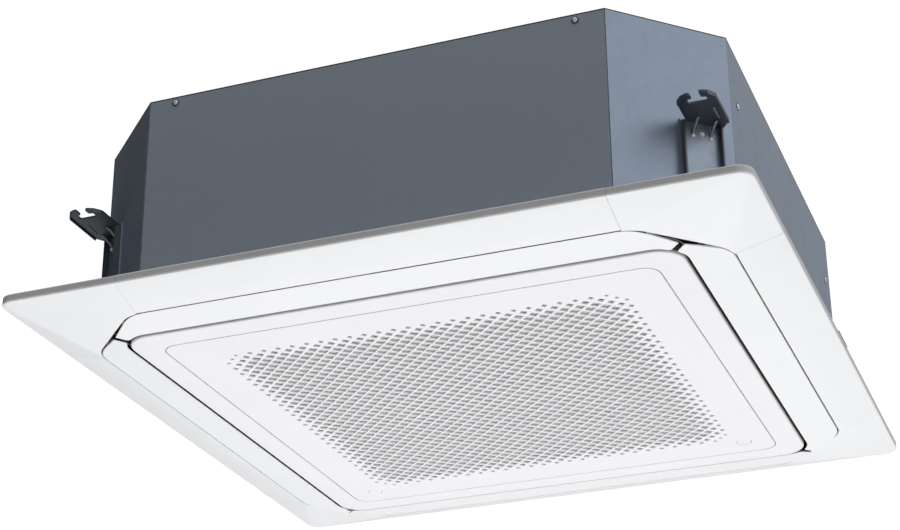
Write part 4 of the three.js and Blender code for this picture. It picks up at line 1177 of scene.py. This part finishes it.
# ---------------------------------------------------------------- screw heads
def screw(b, p, nrm, r=3.6, mi=0, seat=None):
    """Pan-head screw with a cross recess, standing on a face at p."""
    n = Vector(nrm).normalized()
    a = n.cross(Vector((0, 0, 1)))
    a = a.normalized() if a.length > 0.1 else Vector((1, 0, 0))
    c = n.cross(a)
    prof = [(r * 1.45, 0), (r * 1.45, 0.5), (r * 1.02, 0.6), (r, 1.2), (r * 0.86, 1.9), (r * 0.6, 2.25), (r * 0.52, 2.28), (r * 0.3, 1.5), (0, 1.3)]
    seg = 24
    vs, fs = [], []
    for i in range(seg):
        t = 2 * math.pi * i / seg
        for q, (rr, h) in enumerate(prof):
            k = 1.0
            if q in (6, 7):
                k = 0.55 + 0.45 * abs(math.cos(2 * t))
            vs.append(tuple(Vector(p) + (a * math.cos(t) + c * math.sin(t)) * rr * k + n * h))
    m = len(prof)
    for i in range(seg):
        j = (i + 1) % seg
        for q in range(m - 1):
            fs.append((i * m + q, j * m + q, j * m + q + 1, i * m + q + 1))
    b.add(vs, fs, mi)
    # painted shadow: the two rows at the head's foot take the seat material, near black
    if seat is not None:
        for i in range(len(fs)):
            if i % (m - 1) < 2:
                b.m[i - len(fs)] = seat


for sx, sy, n in ((1, 1, "back_right"), (-1, 1, "back_left"), (1, -1, "front_right"), (-1, -1, "front_left")):
    make_bracket(sx, sy, "hanger_bracket_" + n)

# top plate with bright face; its side faces carry painted shadow, near black, for the dark line along the top edge
tp = Build()
TOP_SCREWS = [turn((x, 404, 265.68), k) for k in range(4) for x in (-250, -84, 84, 250)]
tp.prism(octagon(424.04, 119), 266.2, 268.0, 0, holes=[[(x + 3.9 * math.cos(math.pi * i / 12), y + 3.9 * math.sin(math.pi * i / 12)) for i in range(24)] for x, y, z in TOP_SCREWS])
for f_i, f_ in enumerate(tp.f):
    if len(f_) == 4:
        tp.m[f_i] = 1
tp.made("top_sheet", "housing", "galvanised_sheet", [SHEET, EDGE], ["top_plate"], smooth=20)


def dressed(name, width=0.35, mats=None, smooth=38):
    """The frame's shape with clean flats, eased edges and smooth rounds."""
    src = frame["nodes"][name]
    me = src.data.copy()
    o = bpy.data.objects.new(name + "_finish", me)
    bpy.context.scene.collection.objects.link(o)
    bm = bmesh.new()
    bm.from_mesh(me)
    bmesh.ops.remove_doubles(bm, verts=bm.verts, dist=2e-6)
    bmesh.ops.dissolve_limit(bm, angle_limit=math.radians(1.0), verts=bm.verts, edges=bm.edges, use_dissolve_boundaries=False)
    bm.to_mesh(me)
    bm.free()
    me.materials.clear()
    me.materials.append(mats or node_mats[slot_of[name]])
    if width:
        b = o.modifiers.new("Bevel", "BEVEL")
        b.width = width * S
        b.segments = 2
        b.limit_method = "ANGLE"
        b.angle_limit = math.radians(40)
        b.use_clamp_overlap = True
        apply(o)
    shade(o, smooth)
    if width:
        even(o)
    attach(o, body_of[name])
    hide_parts(name)
    return o


SPECIAL = {"side_panel_front": SHEET_FRONT_SHADED, "corner_sheet_front_right": SHEET_CHAMFER_LIT, "drain_pan": PAN, "turbo_fan": FAN}
DONE = {"intake_grille", "grille_latch_right", "grille_latch_left", "air_filter", "panel_frame", "top_plate"}
for n in sorted(frame["nodes"]):
    if n in DONE or n.startswith(("vane_back", "vane_left", "vane_front", "vane_right", "corner_cover", "hanger_bracket")):
        continue
    sheet = n.startswith(("side_panel", "corner_sheet"))
    dressed(n, 0.3 if sheet else 0.35, SPECIAL.get(n), 30 if sheet else 42)

# casing screws: the ring at each head's foot is painted shadow, near black
sc = Build()
for k in range(4):
    for x in (-268, 268):
        for z in (259,) if k in (0, 2) else (190,):
            p = turn((x, 424.02, z), k)
            n = turn((0, 1, 0), k)
            screw(sc, p, n, 3.2, 0, 1)
for p in TOP_SCREWS:
    screw(sc, p, (0, 0, 1), 3.2, 0, 1)
sc.made("casing_screws", "housing", "zinc_steel", [SCREW, EDGE], smooth=50)

# ---------------------------------------------------------------- lights, camera
FX, AZ, EL, ROLL, D, TX, TZ, TY = 2035.2109, 20.5941, -25.5501, -0.4804, 1535.4283, 367.4798, -393.2152, -1121.4232
a, e, ro = math.radians(AZ), math.radians(EL), math.radians(ROLL)
back = Vector((math.sin(a) * math.cos(e), -math.cos(a) * math.cos(e), math.sin(e)))
C = (Vector((TX, TY, TZ)) + back * D)
fwd = -back
r = fwd.cross(Vector((0, 0, 1))).normalized()
u = r.cross(fwd)
r2 = r * math.cos(ro) + u * math.sin(ro)
u2 = -r * math.sin(ro) + u * math.cos(ro)
cam = bpy.data.cameras.new("camera")
cam.sensor_fit = "HORIZONTAL"
cam.sensor_width = 36
cam.lens = FX * 36 / 900
cam.clip_start = 0.02
cam.clip_end = 60
co = bpy.data.objects.new("camera", cam)
M3 = Matrix((r2, u2, back)).transposed()
co.matrix_world = Matrix.Translation(C * S) @ M3.to_4x4()
bpy.context.scene.collection.objects.link(co)
bpy.context.scene.camera = co


def area(name, loc, target, size, power, color=(1, 1, 1)):
    l = bpy.data.lights.new(name, "AREA")
    l.shape = "RECTANGLE"
    l.size, l.size_y = size
    l.energy = power
    l.color = color
    o = bpy.data.objects.new(name, l)
    o.location = loc
    o.rotation_euler = (Vector(loc) - Vector(target)).to_track_quat("Z", "Y").to_euler()
    o.visible_camera = False
    bpy.context.scene.collection.objects.link(o)
    return o


area("soft_below", (0.0, 0.38, -2.3), (0.0, 0.1, 0), (3.8, 3.4), 71, (1, 1, 1))
area("soft_above", (0.0, 0.2, 3.4), (0, 0, 0), (4.5, 4.5), 90, (1, 1, 1))
area("soft_right", (3.4, -0.6, 1.6), (0, 0, 0.1), (2.4, 2.4), 14, (1, 1, 1))

w = bpy.data.worlds.new("world")
bpy.context.scene.world = w
w.use_nodes = True
nt = w.node_tree
for n in list(nt.nodes):
    nt.nodes.remove(n)
out = nt.nodes.new("ShaderNodeOutputWorld")
bg = nt.nodes.new("ShaderNodeBackground")
bgc = nt.nodes.new("ShaderNodeBackground")
mixs = nt.nodes.new("ShaderNodeMixShader")
lp = nt.nodes.new("ShaderNodeLightPath")
tc = nt.nodes.new("ShaderNodeTexCoord")
sp = nt.nodes.new("ShaderNodeSeparateXYZ")
nt.links.new(tc.outputs["Generated"], sp.inputs[0])
mr = nt.nodes.new("ShaderNodeMapRange")
mr.inputs["From Min"].default_value = -1
mr.inputs["From Max"].default_value = 1
mr.inputs["To Min"].default_value = 0.0
mr.inputs["To Max"].default_value = 0.62
nt.links.new(sp.outputs["X"], mr.inputs["Value"])
nt.links.new(mr.outputs[0], bg.inputs["Strength"])
bg.inputs["Color"].default_value = (0.97, 0.985, 1.0, 1)
bgc.inputs["Color"].default_value = (1, 1, 1, 1)
bgc.inputs["Strength"].default_value = 1.05
nt.links.new(lp.outputs["Is Camera Ray"], mixs.inputs[0])
nt.links.new(bg.outputs[0], mixs.inputs[1])
nt.links.new(bgc.outputs[0], mixs.inputs[2])
nt.links.new(mixs.outputs[0], out.inputs["Surface"])
bpy.context.scene.view_settings.view_transform = "Standard"

# pale floor
fm, fnt, fb = mat("floor_pale")
fb.inputs["Roughness"].default_value = 0.8
fnt.links.new(ramp(fnt, noise(fnt, coords(fnt), 1.2, 3), [(0.3, (0.90, 0.90, 0.90)), (0.7, (0.93, 0.93, 0.93))]), fb.inputs["Base Color"])
flp = fnt.nodes.new("ShaderNodeLightPath")
fem = fnt.nodes.new("ShaderNodeMath")
fem.operation = "MULTIPLY"
fem.inputs[1].default_value = 0.42
fnt.links.new(flp.outputs["Is Camera Ray"], fem.inputs[0])
fb.inputs["Emission Color"].default_value = (1, 1, 1, 1)
fnt.links.new(fem.outputs[0], fb.inputs["Emission Strength"])
fl = bpy.data.meshes.new("floor")
Q, FLOOR = 20.0, -6.6
fl.from_pydata([(-Q, -Q, FLOOR), (Q, -Q, FLOOR), (Q, Q, FLOOR), (-Q, Q, FLOOR)], [], [(0, 1, 2, 3)])
fl.materials.append(fm)
fo = bpy.data.objects.new("floor", fl)
bpy.context.scene.collection.objects.link(fo)
